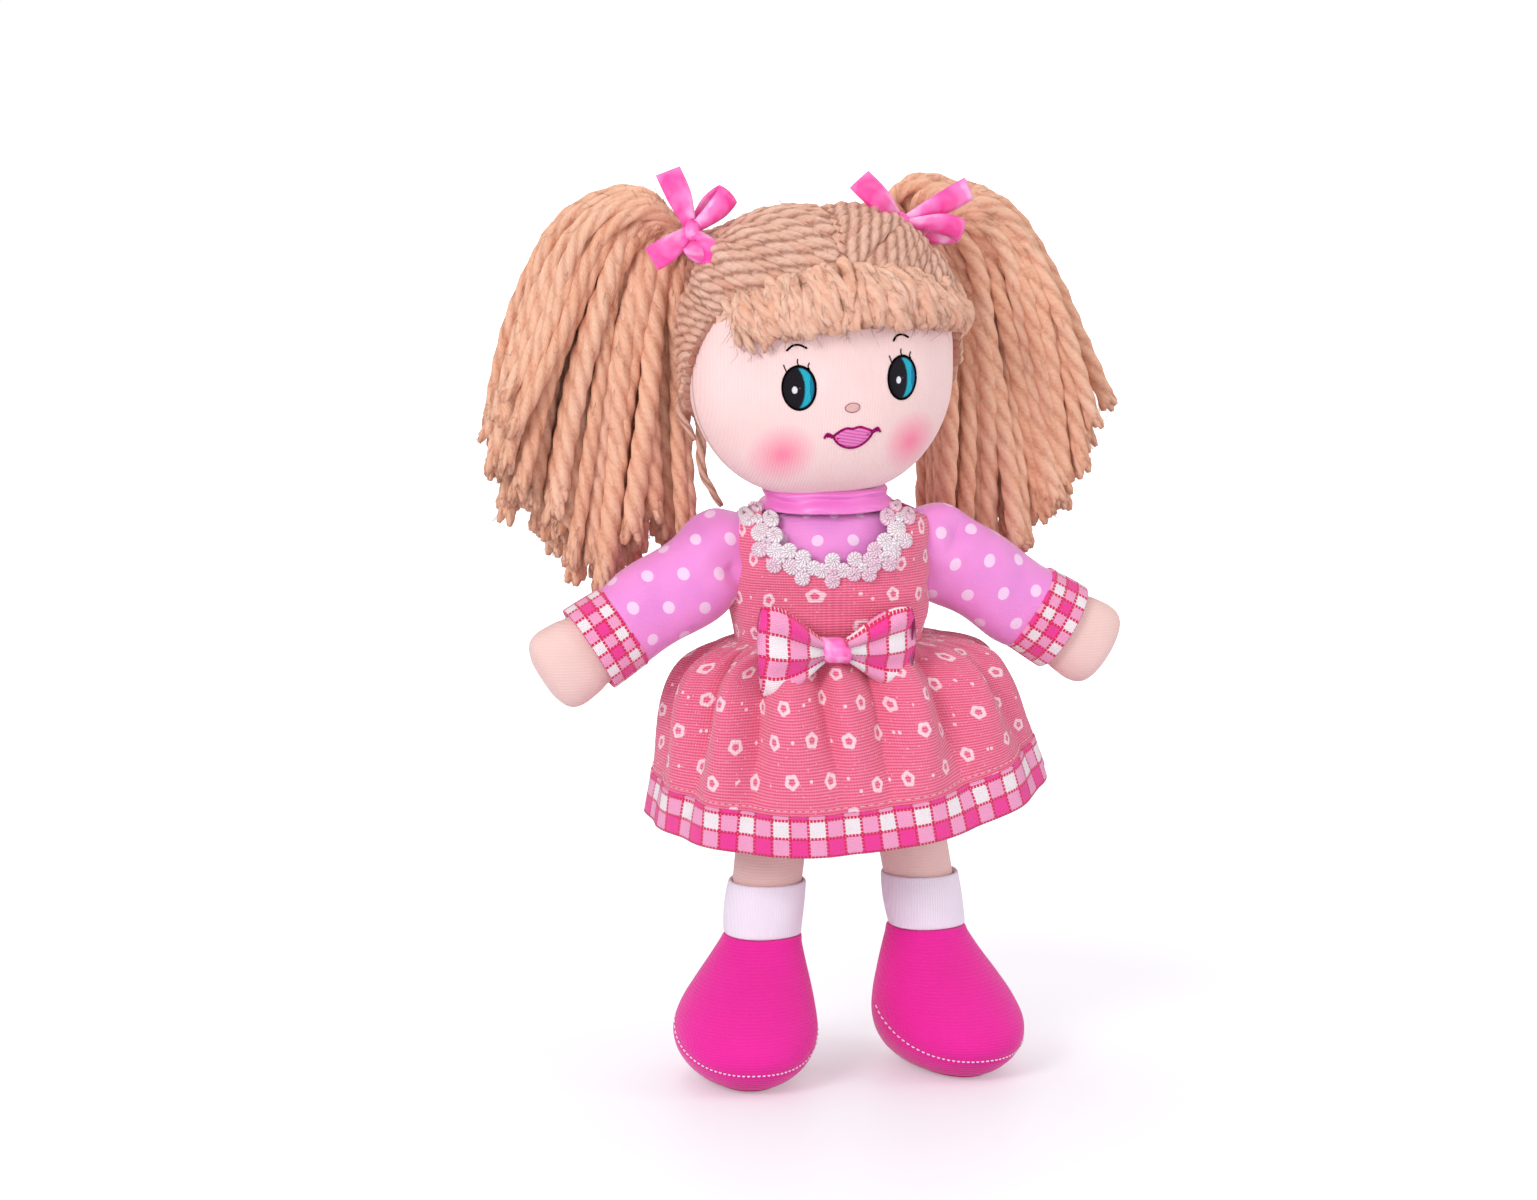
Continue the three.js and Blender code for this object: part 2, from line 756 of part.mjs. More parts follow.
// One leg with its sock, shoe and sole, toes turned a little out
function leg(side, name) {
  const x = (value) => side * value + lowerShift;
  const rows = [
    [ankleZ + gap, x(ankleX), ankleY, ankleRadius, ankleRadius],
    [(ankleZ + hipZ) / 2, x((ankleX + hipX) / 2), ankleY / 2, hipRadius, hipRadius],
    [hipZ, x(hipX), 0, hipRadius, hipRadius],
  ];
  const hip = pillow([x(hipX), 0, hipZ], [hipRadius, hipRadius, hipRadius], midSides, 9);
  add(name + "_leg", stack(rows, 4, midSides).add(hip), knit);

  const sockForm = (grow, over) => {
    const [ankle, top] = [ankleRadius + grow, sockTopRadius + grow];
    const low = [ankleZ + gap, x(ankleX), ankleY, ankle, ankle];
    const high = [ankleZ + sockHeight, x(ankleX - sockLean), ankleY * 0.8, top, top];
    const slope = high.map((value, n) => (over * (value - low[n])) / sockHeight);
    const rows = [low.map((value, n) => value - slope[n]), high.map((value, n) => value + slope[n])];
    return stack(rows, 2, midSides);
  };
  add(name + "_sock", sockForm(gap + sockWall, 0).subtract(sockForm(gap, 2)), sockKnit);

  const width = shoeHalfWidth;
  const length = shoeHalfLength;
  const shoeRows = [
    [soleThickness + gap, 1, shoeMiddleY, width - soleInset, length - soleInset],
    [soleThickness + 5, 1, shoeMiddleY, width - 0.6, length - 0.4],
    [shoeWidestHeight, 1, shoeMiddleY, width, length],
    [shoeWidestHeight + 13, 0.8, shoeMiddleY + 5, width * 0.88, length * 0.8],
    [ankleZ - 13, 0.35, ankleY - 3, width * 0.66, length * 0.56],
    [ankleZ - 4, 0.1, ankleY, ankleRadius + 2.4, ankleRadius + 3],
    [ankleZ, 0, ankleY, ankleRadius + 1.6, ankleRadius + 1.6],
  ].map(([z, spread, y, a, b]) => [z, side * shoeSpread * spread, y - ankleY, a, b]);
  const place = (solid) => solid.rotate([0, 0, side * toeSplay]).translate([x(ankleX), ankleY, 0]);
  add(name + "_shoe", place(stack(shoeRows, 8, bigSides, shoeSquareness)), shoeKnit);
  const [, spread, y, a, b] = shoeRows[0];
  const soleRows = [
    [0, spread, y, a - soleRounding, b - soleRounding],
    [soleThickness, spread, y, a, b],
  ];
  add(name + "_shoe_sole", place(stack(soleRows, 2, bigSides, shoeSquareness)), shoeKnit);
}

// Head and neck
function headForm(grow) {
  const half = [headHalfWidth + grow, headHalfDepth + grow, headHalfHeight + grow];
  return pillow([0, 0, headMiddle], half, bigSides, headRows, headSquareness);
}

function headAndNeck() {
  const neckTop = headBottom - gap;
  const neckHalf = (neckTop - neckBottom) / 2;
  const half = [neckHalfWidth, neckHalfDepth, neckHalf];
  add("neck", pillow([0, 0, neckBottom + neckHalf], half, midSides, 5), knit);
  add("head", headForm(0), knit);
}

// A patch of thread stitched on the face, its outline given in the front view
function embroider(name, shape, material) {
  const layer = headForm(gap + threadThickness).subtract(headForm(gap));
  add(name, layer.intersect(through(shape, -far, 0)), material);
}

function face() {
  for (const [side, name] of [[1, "left"], [-1, "right"]]) {
    const eye = new THREE.Shape();
    eye.absellipse(side * eyeX, eyeZ, eyeHalfWidth, eyeHalfHeight, 0, 2 * Math.PI);
    embroider(name + "_eye", eye, blackThread);
    const brow = new THREE.Shape();
    const [low, high] = [side * eyeX - browHalfWidth, side * eyeX + browHalfWidth];
    brow.moveTo(low, browZ);
    brow.quadraticCurveTo(side * eyeX, browZ + browArch, high, browZ);
    brow.lineTo(high, browZ + browWidth);
    brow.quadraticCurveTo(side * eyeX, browZ + browArch + browWidth, low, browZ + browWidth);
    embroider(name + "_brow", brow, blackThread);
  }
  const nose = new THREE.Shape();
  nose.absellipse(0, noseZ, noseHalfWidth, noseHalfHeight, 0, 2 * Math.PI);
  embroider("nose", nose, noseThread);
  const mouth = new THREE.Shape();
  const half = mouthHalfWidth;
  mouth.moveTo(-half, mouthCornerZ);
  mouth.quadraticCurveTo(-half / 2, mouthCornerZ + 3, 0, mouthCornerZ + 1.8);
  mouth.quadraticCurveTo(half / 2, mouthCornerZ + 3, half, mouthCornerZ);
  mouth.quadraticCurveTo(0, mouthCornerZ - 9, -half, mouthCornerZ);
  embroider("mouth", mouth, mouthThread);
}

// Hair on the head, parted in the middle and gathered to a tie on each side
function hairForm(grow) {
  return headForm(hairThickness + grow);
}

// What the hair leaves bare: the face and the nape, seen from the side
function bareRegion() {
  const side = new THREE.Shape();
  side.moveTo(-far, frontHairline);
  side.lineTo(sideHairlineY - 14, frontHairline);
  side.lineTo(sideHairlineY, fringeHeight - fringeHalfHeight);
  side.lineTo(napeHairlineY, backHairline + 14);
  side.lineTo(napeHairlineY + 14, backHairline);
  side.lineTo(far, backHairline);
  side.lineTo(far, 0);
  side.lineTo(-far, 0);
  const plate = new THREE.ExtrudeGeometry(side, { depth: 2 * far, bevelEnabled: false });
  const toRow = new THREE.Matrix4().makeBasis(
    new THREE.Vector3(0, 1, 0),
    new THREE.Vector3(0, 0, 1),
    new THREE.Vector3(1, 0, 0),
  );
  plate.applyMatrix4(toRow);
  plate.translate(-far, 0, 0);
  return solidOf(plate);
}

const gatherDirection = new THREE.Vector3(0.52, 0.46, 0.72).normalize();

// A round bar along the gathered hair of one side, between two distances short of the tie
function gatherBar(side, fromRadius, toRadius, from, to, steps = 2) {
  const rings = [];
  for (let i = 0; i < steps; i++) {
    const at = from + ((to - from) * i) / (steps - 1);
    const radius = fromRadius + ((toRadius - fromRadius) * i) / (steps - 1);
    const d = gatherDirection;
    const middle = new THREE.Vector3(side * (tieX - d.x * at), tieY - d.y * at, tieZ - d.z * at);
    const axis = new THREE.Vector3(side * d.x, d.y, d.z);
    const across = new THREE.Vector3(0, 0, 1).cross(axis).normalize();
    const along = axis.clone().cross(across).multiplyScalar(radius);
    rings.push(oval(middle, across.multiplyScalar(radius), along, smallSides));
  }
  return solidOf(skin(rings));
}

// The band of the hair tie round the gathered hair, longer at each end by a margin
function tieBar(side, radius, margin) {
  return gatherBar(side, radius, radius, tieRadius + 1 + tieWidth + margin, tieRadius + 1 - margin);
}

function tailBall(side, grow) {
  const r = tieRadius + grow;
  return pillow([side * tieX, tieY, tieZ], [r, r, r], midSides, 8);
}

function scalpHair(side, name) {
  const innerX = side * (gap / 2);
  const half = block([Math.min(innerX, side * far), -far, 0], [Math.max(innerX, side * far), far, far]);
  const neckOfHair = gatherBar(side, gatherRadius, tieRadius, gatherLength, tieRadius * 0.7);
  const bunch = neckOfHair.subtract(tailBall(side, gap));
  const cap = hairForm(0).subtract(bareRegion()).intersect(half);
  const groove = tieBar(side, tieOuterRadius + gap, gap).subtract(tieBar(side, tieBoreRadius - gap, 1));
  const hair = cap.add(bunch).subtract(headForm(gap)).subtract(groove);
  add(name + "_scalp_hair", hair, yarn);
  const tie = tieBar(side, tieOuterRadius, 0).subtract(tieBar(side, tieBoreRadius, 1));
  add(name + "_hair_tie", tie, elastic);
}

function fringe() {
  const rows = [];
  for (const share of [-1, -0.93, -0.7, -0.35, 0, 0.35, 0.7, 0.93, 1]) {
    const x = fringeMiddleX + share * fringeHalfWidth;
    const across = Math.min(Math.abs(x / (headHalfWidth + 2)), 0.97);
    const y = -headHalfDepth * (1 - across ** 2.1) ** 0.5 * 0.93 - 2;
    const z = fringeHeight + fringeRise * (share * share - 0.4);
    const end = Math.abs(share) === 1 ? 0.3 : 1;
    const half = fringeHalfHeight + (fringeEndHalfHeight - fringeHalfHeight) * Math.abs(share) ** 1.5;
    rows.push([x, y, z, half * end, fringeThickness * end]);
  }
  const roll = sweep(rows, 13, smallSides);
  const scalp = hairForm(gap).subtract(bareRegion());
  add("fringe", roll.subtract(headForm(2 * gap + threadThickness)).subtract(scalp), yarn);
}

// One pigtail: a broad fan of yarn that hangs from the tie
function pigtail(side, name, tipZ) {
  const tall = crestZ - fanZ;
  const rows = [
    [crestZ, crestX, crestHalfWidth, tailHalfDepth * 0.4],
    [crestZ - tall * 0.06, crestX + 1, crestHalfWidth * 1.8, tailHalfDepth * 0.66],
    [crestZ - tall * 0.22, crestX + 6, fanHalfWidth * 0.82, tailHalfDepth * 0.84],
    [crestZ - tall * 0.5, crestX + 9, fanHalfWidth * 0.9, tailHalfDepth * 0.95],
    [crestZ - tall * 0.78, fanX - 1.6, fanHalfWidth * 0.97, tailHalfDepth],
    [fanZ, fanX, fanHalfWidth, tailHalfDepth],
    [(fanZ + tipZ) / 2, fanX - 2, fanHalfWidth * 0.94, tailHalfDepth * 0.92],
    [tipZ + 9, tipX + 2, tipHalfWidth * 1.15, tailHalfDepth * 0.76],
    [tipZ, tipX, tipHalfWidth * 0.8, tailHalfDepth * 0.5],
  ].map(([z, x, width, depth]) => [z, side * x, tailY, width, depth]);
  const body = stack(rows, 12, midSides + 2, 2.1).add(tailBall(side, 0));
  add(name + "_pigtail", body.subtract(hairForm(2 * gap)).subtract(gatherRoom(side)), yarn);
}

// Room round the gathered hair and its tie, kept clear of the pigtail
function gatherRoom(side) {
  const radius = tieOuterRadius + gap;
  const ball = tailBall(side, 0);
  return gatherBar(side, gatherRadius + 1, radius, gatherLength, tieRadius * 0.5).subtract(ball);
}

// A satin ribbon bow on each tie: a knot with its loops and tails
function hairBow(name, x, z, arms) {
  let bow = pillow([x, hairBowY, z], [hairKnotRadius, 3.4, hairKnotRadius], smallSides, 5);
  for (const [dx, dz] of arms) {
    const rows = [0, 0.5, 1].map((share) => [
      x + dx * share,
      hairBowY - 1.5 * Math.sin(Math.PI * share),
      z + dz * share,
      ribbonHalfWidth * (0.55 + 0.45 * Math.sqrt(share)),
      ribbonHalfThickness,
    ]);
    bow = bow.add(sweep(rows, 4, 8, 4));
  }
  const side = Math.sign(x);
  const bunch = gatherBar(side, gatherRadius + gap, tieRadius + gap, gatherLength, tieRadius * 0.5);
  const tie = tieBar(side, tieOuterRadius + gap, gap);
  add(name, bow.subtract(hairForm(gap)).subtract(bunch).subtract(tie), ribbon);
}

// Voice box
function bossPlaces() {
  return [210, 330].map((turn) => [
    bossRing * Math.cos(turn * degrees),
    bossRing * Math.sin(turn * degrees),
  ]);
}

function voiceCase() {
  const bossTop = casePartingY - gap / 2;
  let front = voiceBar(caseRadius, 0, 0, caseFrontY, bossTop, bigSides);
  front = front.subtract(voiceBar(caseInnerRadius, 0, 0, frontPlateY, far, bigSides));
  front = front.subtract(voiceBar(buttonStemRadius + gap, 0, buttonRise, 0, far));
  for (let i = 0; i < 6; i++) {
    const turn = i * 60 * degrees;
    const x = soundHoleRing * Math.cos(turn);
    const z = soundHoleRing * Math.sin(turn) - speakerDrop;
    front = front.subtract(voiceBar(soundHoleRadius, x, z, 0, far, 6));
  }
  let back = voiceBar(caseRadius, 0, 0, casePartingY + gap / 2, caseBackY, bigSides);
  back = back.subtract(voiceBar(caseInnerRadius, 0, 0, 0, doorY, bigSides));
  back = back.subtract(voiceBar(doorRadius + gap, 0, 0, 0, far, bigSides));
  const doorPostTop = doorY - gap;
  const doorPostBottom = boardY + boardThickness + gap;
  back = back.add(voiceBar(bossRadius, 0, doorScrewRise, doorPostBottom, doorPostTop));
  const wallZ = voiceZ + caseRadius - caseWall / 2;
  back = back.add(block([-1, doorPostBottom, voiceZ + doorScrewRise + 1], [1, doorPostTop, wallZ]));
  back = back.subtract(voiceBar(screwRadius + 0.1, 0, doorScrewRise, doorPostBottom + 1, far, 8));
  bossPlaces().forEach(([x, z], i) => {
    front = front.add(voiceBar(bossRadius, x, z, caseFrontY + caseWall / 2, bossTop));
    front = front.subtract(voiceBar(screwRadius + 0.1, x, z, frontPlateY + 1, far, 8));
    back = back.add(voiceBar(bossRadius, x, z, casePartingY + gap / 2, doorY + caseWall / 2));
    back = back.subtract(voiceBar(screwRadius + gap, x, z, 0, far, 8));
    back = back.subtract(voiceBar(screwHeadRadius + gap, x, z, headSeatY, far));
    add("case_screw_" + (i + 1), screw(x, z, frontPlateY + 1 + gap, caseBackY), steel);
  });
  add("voice_case_front", front, casePlastic);
  add("voice_case_back", back, casePlastic);
}

// A cross-head screw whose head is level with the back face
function screw(x, z, tipY, faceY) {
  const headY = faceY - screwHeadHeight;
  const shank = voiceBar(screwRadius, x, z, tipY, headY + 0.2, 8);
  const body = voiceBar(screwHeadRadius, x, z, headY, faceY).add(shank);
  const slot = (a, b) => {
    return block([x - a, faceY - 0.5, voiceZ + z - b], [x + a, faceY + 1, voiceZ + z + b]);
  };
  return body.subtract(slot(1, 0.2)).subtract(slot(0.2, 1));
}

function batteryBay() {
  for (let i = 0; i < 3; i++) {
    const turn = (30 + 120 * i) * degrees;
    const [x, z] = [cellRing * Math.cos(turn), cellRing * Math.sin(turn)];
    add("button_cell_" + (i + 1), voiceBar(cellRadius, x, z, cellY, cellY + cellThickness), steel);
  }
  const boardContactY = boardY + boardThickness + gap;
  const contactRadius = doorScrewRise - bossRadius - gap;
  const contact = (y) => voiceBar(contactRadius, 0, 0, y, y + contactThickness);
  add("board_contact", contact(boardContactY), steel);
  add("door_contact", contact(doorContactY), steel);

  let door = voiceBar(doorRadius, 0, 0, doorY, caseBackY, bigSides);
  for (const side of [-1, 1]) {
    const low = side > 0 ? tabInset : -tabInset - tabWidth;
    const high = low + tabWidth;
    const rootZ = voiceZ - tabRoot;
    door = door.add(block([low, doorContactY, rootZ - 0.4], [high, doorY + 0.2, rootZ + 1]));
    door = door.add(block([low, doorContactY - 0.5, voiceZ - tabReach], [high, doorY - gap, rootZ]));
  }
  door = door.subtract(voiceBar(screwRadius + gap, 0, doorScrewRise, 0, far, 8));
  door = door.subtract(voiceBar(screwHeadRadius + gap, 0, doorScrewRise, headSeatY, far));
  add("battery_door", door, casePlastic);
  add("battery_door_screw", screw(0, doorScrewRise, boardY + boardThickness + 2, caseBackY), steel);
}

// A turned part whose axis runs front to back; each point is radius and depth behind the front
function turned(points, x, z, y) {
  const lathe = new THREE.LatheGeometry(points.map(([r, d]) => new THREE.Vector2(r, d)), midSides);
  lathe.translate(x, y, voiceZ + z);
  return solidOf(lathe);
}

function electronics() {
  let board = voiceBar(caseInnerRadius - gap, 0, 0, boardY, boardY + boardThickness, bigSides);
  for (const [x, z] of bossPlaces()) board = board.subtract(voiceBar(bossRadius + gap, x, z, 0, far));
  add("circuit_board", board, boardLaminate);

  const plungerY = frontPlateY + buttonTravel + 0.2;
  const half = switchSize / 2;
  const low = [-half, plungerY + 0.9, voiceZ + buttonRise - half];
  const high = [half, boardY - gap, voiceZ + buttonRise + half];
  const plunger = voiceBar(plungerRadius, 0, buttonRise, plungerY, plungerY + 1.2);
  add("push_switch", block(low, high).add(plunger), switchPlastic);

  const cap = voiceBar(buttonCapRadius, 0, buttonRise, buttonCapFrontY, buttonCapBackY);
  const stemTipY = plungerY - gap - buttonTravel;
  const stem = voiceBar(buttonStemRadius, 0, buttonRise, buttonCapBackY - 0.5, stemTipY);
  add("voice_button", cap.add(stem), buttonPlastic);

  const depth = speakerDepth;
  const rim = speakerRadius;
  const frame = [
    [0, depth * 0.5],
    [rim * 0.34, depth * 0.5],
    [rim - 1.2, 0.7],
    [rim - 1.2, 0],
    [rim, 0],
    [rim, 1],
    [rim * 0.56, depth * 0.62],
    [rim * 0.5, depth],
    [0, depth],
  ];
  add("speaker_frame", turned(frame, 0, -speakerDrop, speakerY), steel);
  const cone = [
    [0, depth * 0.33],
    [rim * 0.3, depth * 0.33],
    [rim - 1.6, 0.05],
    [rim - 1.6, 0.4],
    [rim * 0.3, depth * 0.5 - gap],
    [0, depth * 0.5 - gap],
  ];
  add("speaker_cone", turned(cone, 0, -speakerDrop, speakerY), conePaper);

  const route = new THREE.CatmullRomCurve3(
    [
      [6.4, 7.2, -5.4],
      [8.6, 7, -3.6],
      [10.2, 7.2, -2],
      [10.8, 8.2, -1.4],
    ].map(([x, y, z]) => new THREE.Vector3(x, y - 3.9 + speakerY, voiceZ + z)),
  );
  const section = new THREE.Shape();
  section.absellipse(0, 0, leadWidth / 4, leadWidth / 2, 0, 2 * Math.PI);
  const lead = new THREE.ExtrudeGeometry(section, { steps: 6, extrudePath: route, curveSegments: 2 });
  add("speaker_lead", solidOf(lead), leadSleeve);
}

torso();
blouse();
bodice();
skirt();
waistBow();
for (const [side, name] of [[1, "left"], [-1, "right"]]) {
  arm(side, name);
  leg(side, name);
  scalpHair(side, name);
}
headAndNeck();
face();
fringe();
pigtail(1, "left", leftTipZ);
pigtail(-1, "right", rightTipZ);
hairBow("left_hair_bow", leftBowX, leftBowZ, leftBowEnds);
hairBow("right_hair_bow", rightBowX, rightBowZ, rightBowEnds);
voiceCase();
batteryBay();
electronics();

export default doll;
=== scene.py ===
import json
import math

import bmesh
import bpy
import numpy as np
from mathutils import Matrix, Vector


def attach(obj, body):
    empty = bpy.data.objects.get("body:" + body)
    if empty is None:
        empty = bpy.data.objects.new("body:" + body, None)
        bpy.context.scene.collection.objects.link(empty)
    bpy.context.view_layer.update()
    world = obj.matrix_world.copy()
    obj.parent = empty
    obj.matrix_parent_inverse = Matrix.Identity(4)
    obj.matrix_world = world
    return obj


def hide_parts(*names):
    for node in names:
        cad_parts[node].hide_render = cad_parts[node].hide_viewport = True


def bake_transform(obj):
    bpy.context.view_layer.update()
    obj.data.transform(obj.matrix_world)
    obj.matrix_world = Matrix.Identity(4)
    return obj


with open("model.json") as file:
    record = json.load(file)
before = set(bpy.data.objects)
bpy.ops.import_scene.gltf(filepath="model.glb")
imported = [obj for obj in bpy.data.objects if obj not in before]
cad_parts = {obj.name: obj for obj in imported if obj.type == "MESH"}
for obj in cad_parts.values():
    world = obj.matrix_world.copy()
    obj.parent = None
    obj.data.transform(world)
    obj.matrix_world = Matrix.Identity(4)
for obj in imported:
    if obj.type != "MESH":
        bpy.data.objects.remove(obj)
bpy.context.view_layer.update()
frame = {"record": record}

# Camera, floor and light: the doll stands on a white studio floor and is seen a little from its right side
# and from slightly above. The light is soft and comes mostly from the front, on the doll's right.
scene = bpy.context.scene
scene.view_settings.view_transform = "Standard"


class Wire:
    """One socket of a finish; sums and products of wires add their maths nodes."""

    def __init__(self, paint, socket):
        self.paint = paint
        self.socket = socket

    def maths(self, operation, *others, clamp=False):
        settings = {"operation": operation, "use_clamp": clamp}
        return self.paint.node("ShaderNodeMath", settings, [self, *others])

    def __add__(self, other):
        return self.maths("ADD", other)

    def __sub__(self, other):
        return self.maths("SUBTRACT", other)

    def __mul__(self, other):
        return self.maths("MULTIPLY", other)

    def __truediv__(self, number):
        return self * (1 / number)

    def __rsub__(self, other):
        return self.maths("MULTIPLY_ADD", -1, other)

    def over(self, edge, soft):
        """1 where the wire is over the edge and 0 under it; a negative softness swaps them."""
        return self.maths("MULTIPLY_ADD", 1 / soft, 0.5 - edge / soft, clamp=True)

    def sine(self, step):
        """A wave from -1 to 1 that repeats at every step of the wire."""
        return (self * (2 * math.pi / step)).maths("SINE")

    def wave(self, step):
        """The same wave from 0 to 1."""
        return self.sine(step) * 0.5 + 0.5

    def far(self, other):
        """How far a place is from the middle; this wire is its x and the other its y."""
        return (self * self + other * other).maths("SQRT")

    def cell(self):
        """The number of the cell that the wire is in, and the place in it from -0.5 to 0.5."""
        number = self.maths("FLOOR")
        return number, self - number - 0.5


class Nodes:
    """A tree of nodes, each added by the same method."""

    def __init__(self, tree):
        self.tree = tree

    def node(self, kind, settings, inputs, output=0):
        made = self.tree.nodes.new(kind)
        for name, value in settings.items():
            setattr(made, name, value)
        pairs = inputs.items() if isinstance(inputs, dict) else enumerate(inputs)
        for name, value in pairs:
            if isinstance(value, Wire):
                self.tree.links.new(value.socket, made.inputs[name])
            else:
                made.inputs[name].default_value = value
        return Wire(self, made.outputs[output])

    def seen(self):
        """1 where the eye meets the thing straight, in a reflection or through something clear."""
        kinds = ("Camera", "Glossy", "Transmission")
        straight, mirrored, through = (
            self.node("ShaderNodeLightPath", {}, {}, f"Is {kind} Ray") for kind in kinds
        )
        return straight.maths("MAXIMUM", mirrored).maths("MAXIMUM", through)


class Paint(Nodes):
    """The finish of one material."""

    def __init__(self, name, roughness=0.9, **uniform):
        self.material = bpy.data.materials.new(name)
        self.material.use_nodes = True
        super().__init__(self.material.node_tree)
        self.shader = self.tree.nodes["Principled BSDF"]
        self.shader.inputs["Roughness"].default_value = roughness
        for socket, value in uniform.items():
            self.shader.inputs[socket.replace("_", " ")].default_value = value

    def mix(self, share, first, second):
        return self.node("ShaderNodeMix", {"data_type": "RGBA"}, {0: share, 6: first, 7: second}, 2)

    def axes(self, source):
        """Three wires of a vector: UV runs over a cloth in metres, Object is the place at rest."""
        whole = self.node("ShaderNodeTexCoord", {}, {}, source)
        return [self.node("ShaderNodeSeparateXYZ", {}, [whole], k) for k in range(3)]

    def vector(self, x, y, z=0.0):
        return self.node("ShaderNodeCombineXYZ", {}, [x, y, z])

    def noise(self, place, scale, detail=2.0):
        return self.node("ShaderNodeTexNoise", {}, {"Vector": place, "Scale": scale, "Detail": detail})

    def chance(self, place):
        return self.node("ShaderNodeTexWhiteNoise", {}, {"Vector": place})

    def wear(self, colour, height=None, depth=0.0003, roughness=None):
        """Colour, relief in metres and roughness go on the shader."""
        wires = {"Base Color": colour}
        if height is not None:
            bump = {"Height": height, "Distance": depth, "Strength": 1.0}
            wires["Normal"] = self.node("ShaderNodeBump", {}, bump)
        if roughness is not None:
            wires["Roughness"] = roughness
        for socket, value in wires.items():
            self.tree.links.new(value.socket, self.shader.inputs[socket])
        return self


def tint(red, green, blue):
    """A colour as the eye reads it, from 0 to 255, as the light that a shader works in."""
    share = np.array([red, green, blue]) / 255
    linear = np.where(share <= 0.04045, share / 12.92, ((share + 0.055) / 1.055) ** 2.4)
    return (*linear.tolist(), 1.0)
AIM = Vector((-0.0227, 0.0061, 0.1858))
CAMERA_TURN, CAMERA_LIFT = math.radians(-15), math.radians(10)
CAMERA_DISTANCE = 2.277
camera = bpy.data.objects.new("camera", bpy.data.cameras.new("camera"))
camera.data.lens = 135
camera.data.sensor_width = 36
flat = math.cos(CAMERA_LIFT)
backward = Vector((math.sin(CAMERA_TURN) * flat, -math.cos(CAMERA_TURN) * flat, math.sin(CAMERA_LIFT)))
camera.location = AIM + backward * CAMERA_DISTANCE
camera.rotation_euler = (-backward).to_track_quat("-Z", "Y").to_euler()
scene.collection.objects.link(camera)
scene.camera = camera

FLOOR_HALF, FLOOR_Z = 4, -0.0002
FLOOR_GLOW, FAR_GLOW, NEAR_RADIUS = 150, 255, 0.55
floor_mesh = bpy.data.meshes.new("floor")
floor_corners = [(x * FLOOR_HALF, y * FLOOR_HALF, FLOOR_Z) for x, y in ((-1, -1), (1, -1), (1, 1), (-1, 1))]
floor_mesh.from_pydata(floor_corners, [], [(0, 1, 2, 3)])
floor = bpy.data.objects.new("floor", floor_mesh)
scene.collection.objects.link(floor)
floor_paint = Paint("white floor", roughness=0.5)
floor_paint.shader.inputs["Base Color"].default_value = tint(216, 213, 220)
floor_x, floor_y, _ = floor_paint.axes("Object")
distance = floor_x.far(floor_y).over(NEAR_RADIUS, 0.7)
glow = floor_paint.mix(distance, tint(*[FLOOR_GLOW] * 3), tint(*[FAR_GLOW] * 3))
glow = floor_paint.mix(floor_paint.seen(), tint(0, 0, 0), glow)
floor_paint.tree.links.new(glow.socket, floor_paint.shader.inputs["Emission Color"])
floor_paint.shader.inputs["Emission Strength"].default_value = 1.0
floor_mesh.materials.append(floor_paint.material)

world = bpy.data.worlds.new("studio")
world.use_nodes = True
scene.world = world
sky = world.node_tree.nodes["Background"]
sky.inputs["Color"].default_value = (1, 1, 1, 1)
SKY_LIGHT = 0.67
brightness = Nodes(world.node_tree).seen() * (1 - SKY_LIGHT) + SKY_LIGHT
world.node_tree.links.new(brightness.socket, sky.inputs["Strength"])

for name, place, power, size in [
    ("key", (-1.7, -1.5, 1.4), 27.5, 0.9),
    ("fill", (1.9, -1.0, 0.9), 9.5, 0.9),
    ("top", (0.0, 0.9, 2.0), 9, 0.9),
    ("low", (-0.5, -2.0, 0.15), 6, 0.6),
]:
    lamp = bpy.data.objects.new(name, bpy.data.lights.new(name, "AREA"))
    lamp.data.energy = power
    lamp.data.size = size
    lamp.location = place
    lamp.rotation_euler = (Vector((0, 0, 0.2)) - Vector(place)).to_track_quat("-Z", "Y").to_euler()
    scene.collection.objects.link(lamp)

# Head: two panels of fine ribbed knit in a pale skin colour, sewn together round the side and stuffed
# firm. The rouge on the cheeks is sprayed on. It turns on the neck, which is a small stuffed roll.
MM = 0.001
HEAD_HALF = np.array([52.5, 39.0, 52.0])
JAW_HALF = 58.0
HEAD_CENTRE = np.array([-3.0, 0.0, 286.0])
CROWN_SQUARENESS, JAW_SQUARENESS = 2.25, 2.45


def piece(name, points, faces, corners, paint, closed=True):
    """A mesh from points in millimetres, with the place of each face corner on the cloth in metres."""
    mesh = bpy.data.meshes.new(name)
    mesh.from_pydata((np.asarray(points) * MM).tolist(), [], faces)
    mesh.uv_layers.new(name="cloth").data.foreach_set("uv", np.ravel(corners))
    mesh.materials.append(paint.material)
    mesh.polygons.foreach_set("use_smooth", [True] * len(mesh.polygons))
    if closed:
        shape = bmesh.new()
        shape.from_mesh(mesh)
        bmesh.ops.recalc_face_normals(shape, faces=shape.faces)
        shape.to_mesh(mesh)
        shape.free()
    made = bpy.data.objects.new(name, mesh)
    scene.collection.objects.link(made)
    return made


def gaps(points, axis):
    """Distances between neighbouring points."""
    return np.linalg.norm(np.diff(points, axis=axis), axis=-1)


def summed(steps):
    """Steps added up, with 0 in front."""
    return np.concatenate([[0], np.cumsum(steps)])


def looped(rings):
    """Rings with their first column once more at the end."""
    return np.concatenate([rings, rings[:, :1]], axis=1)


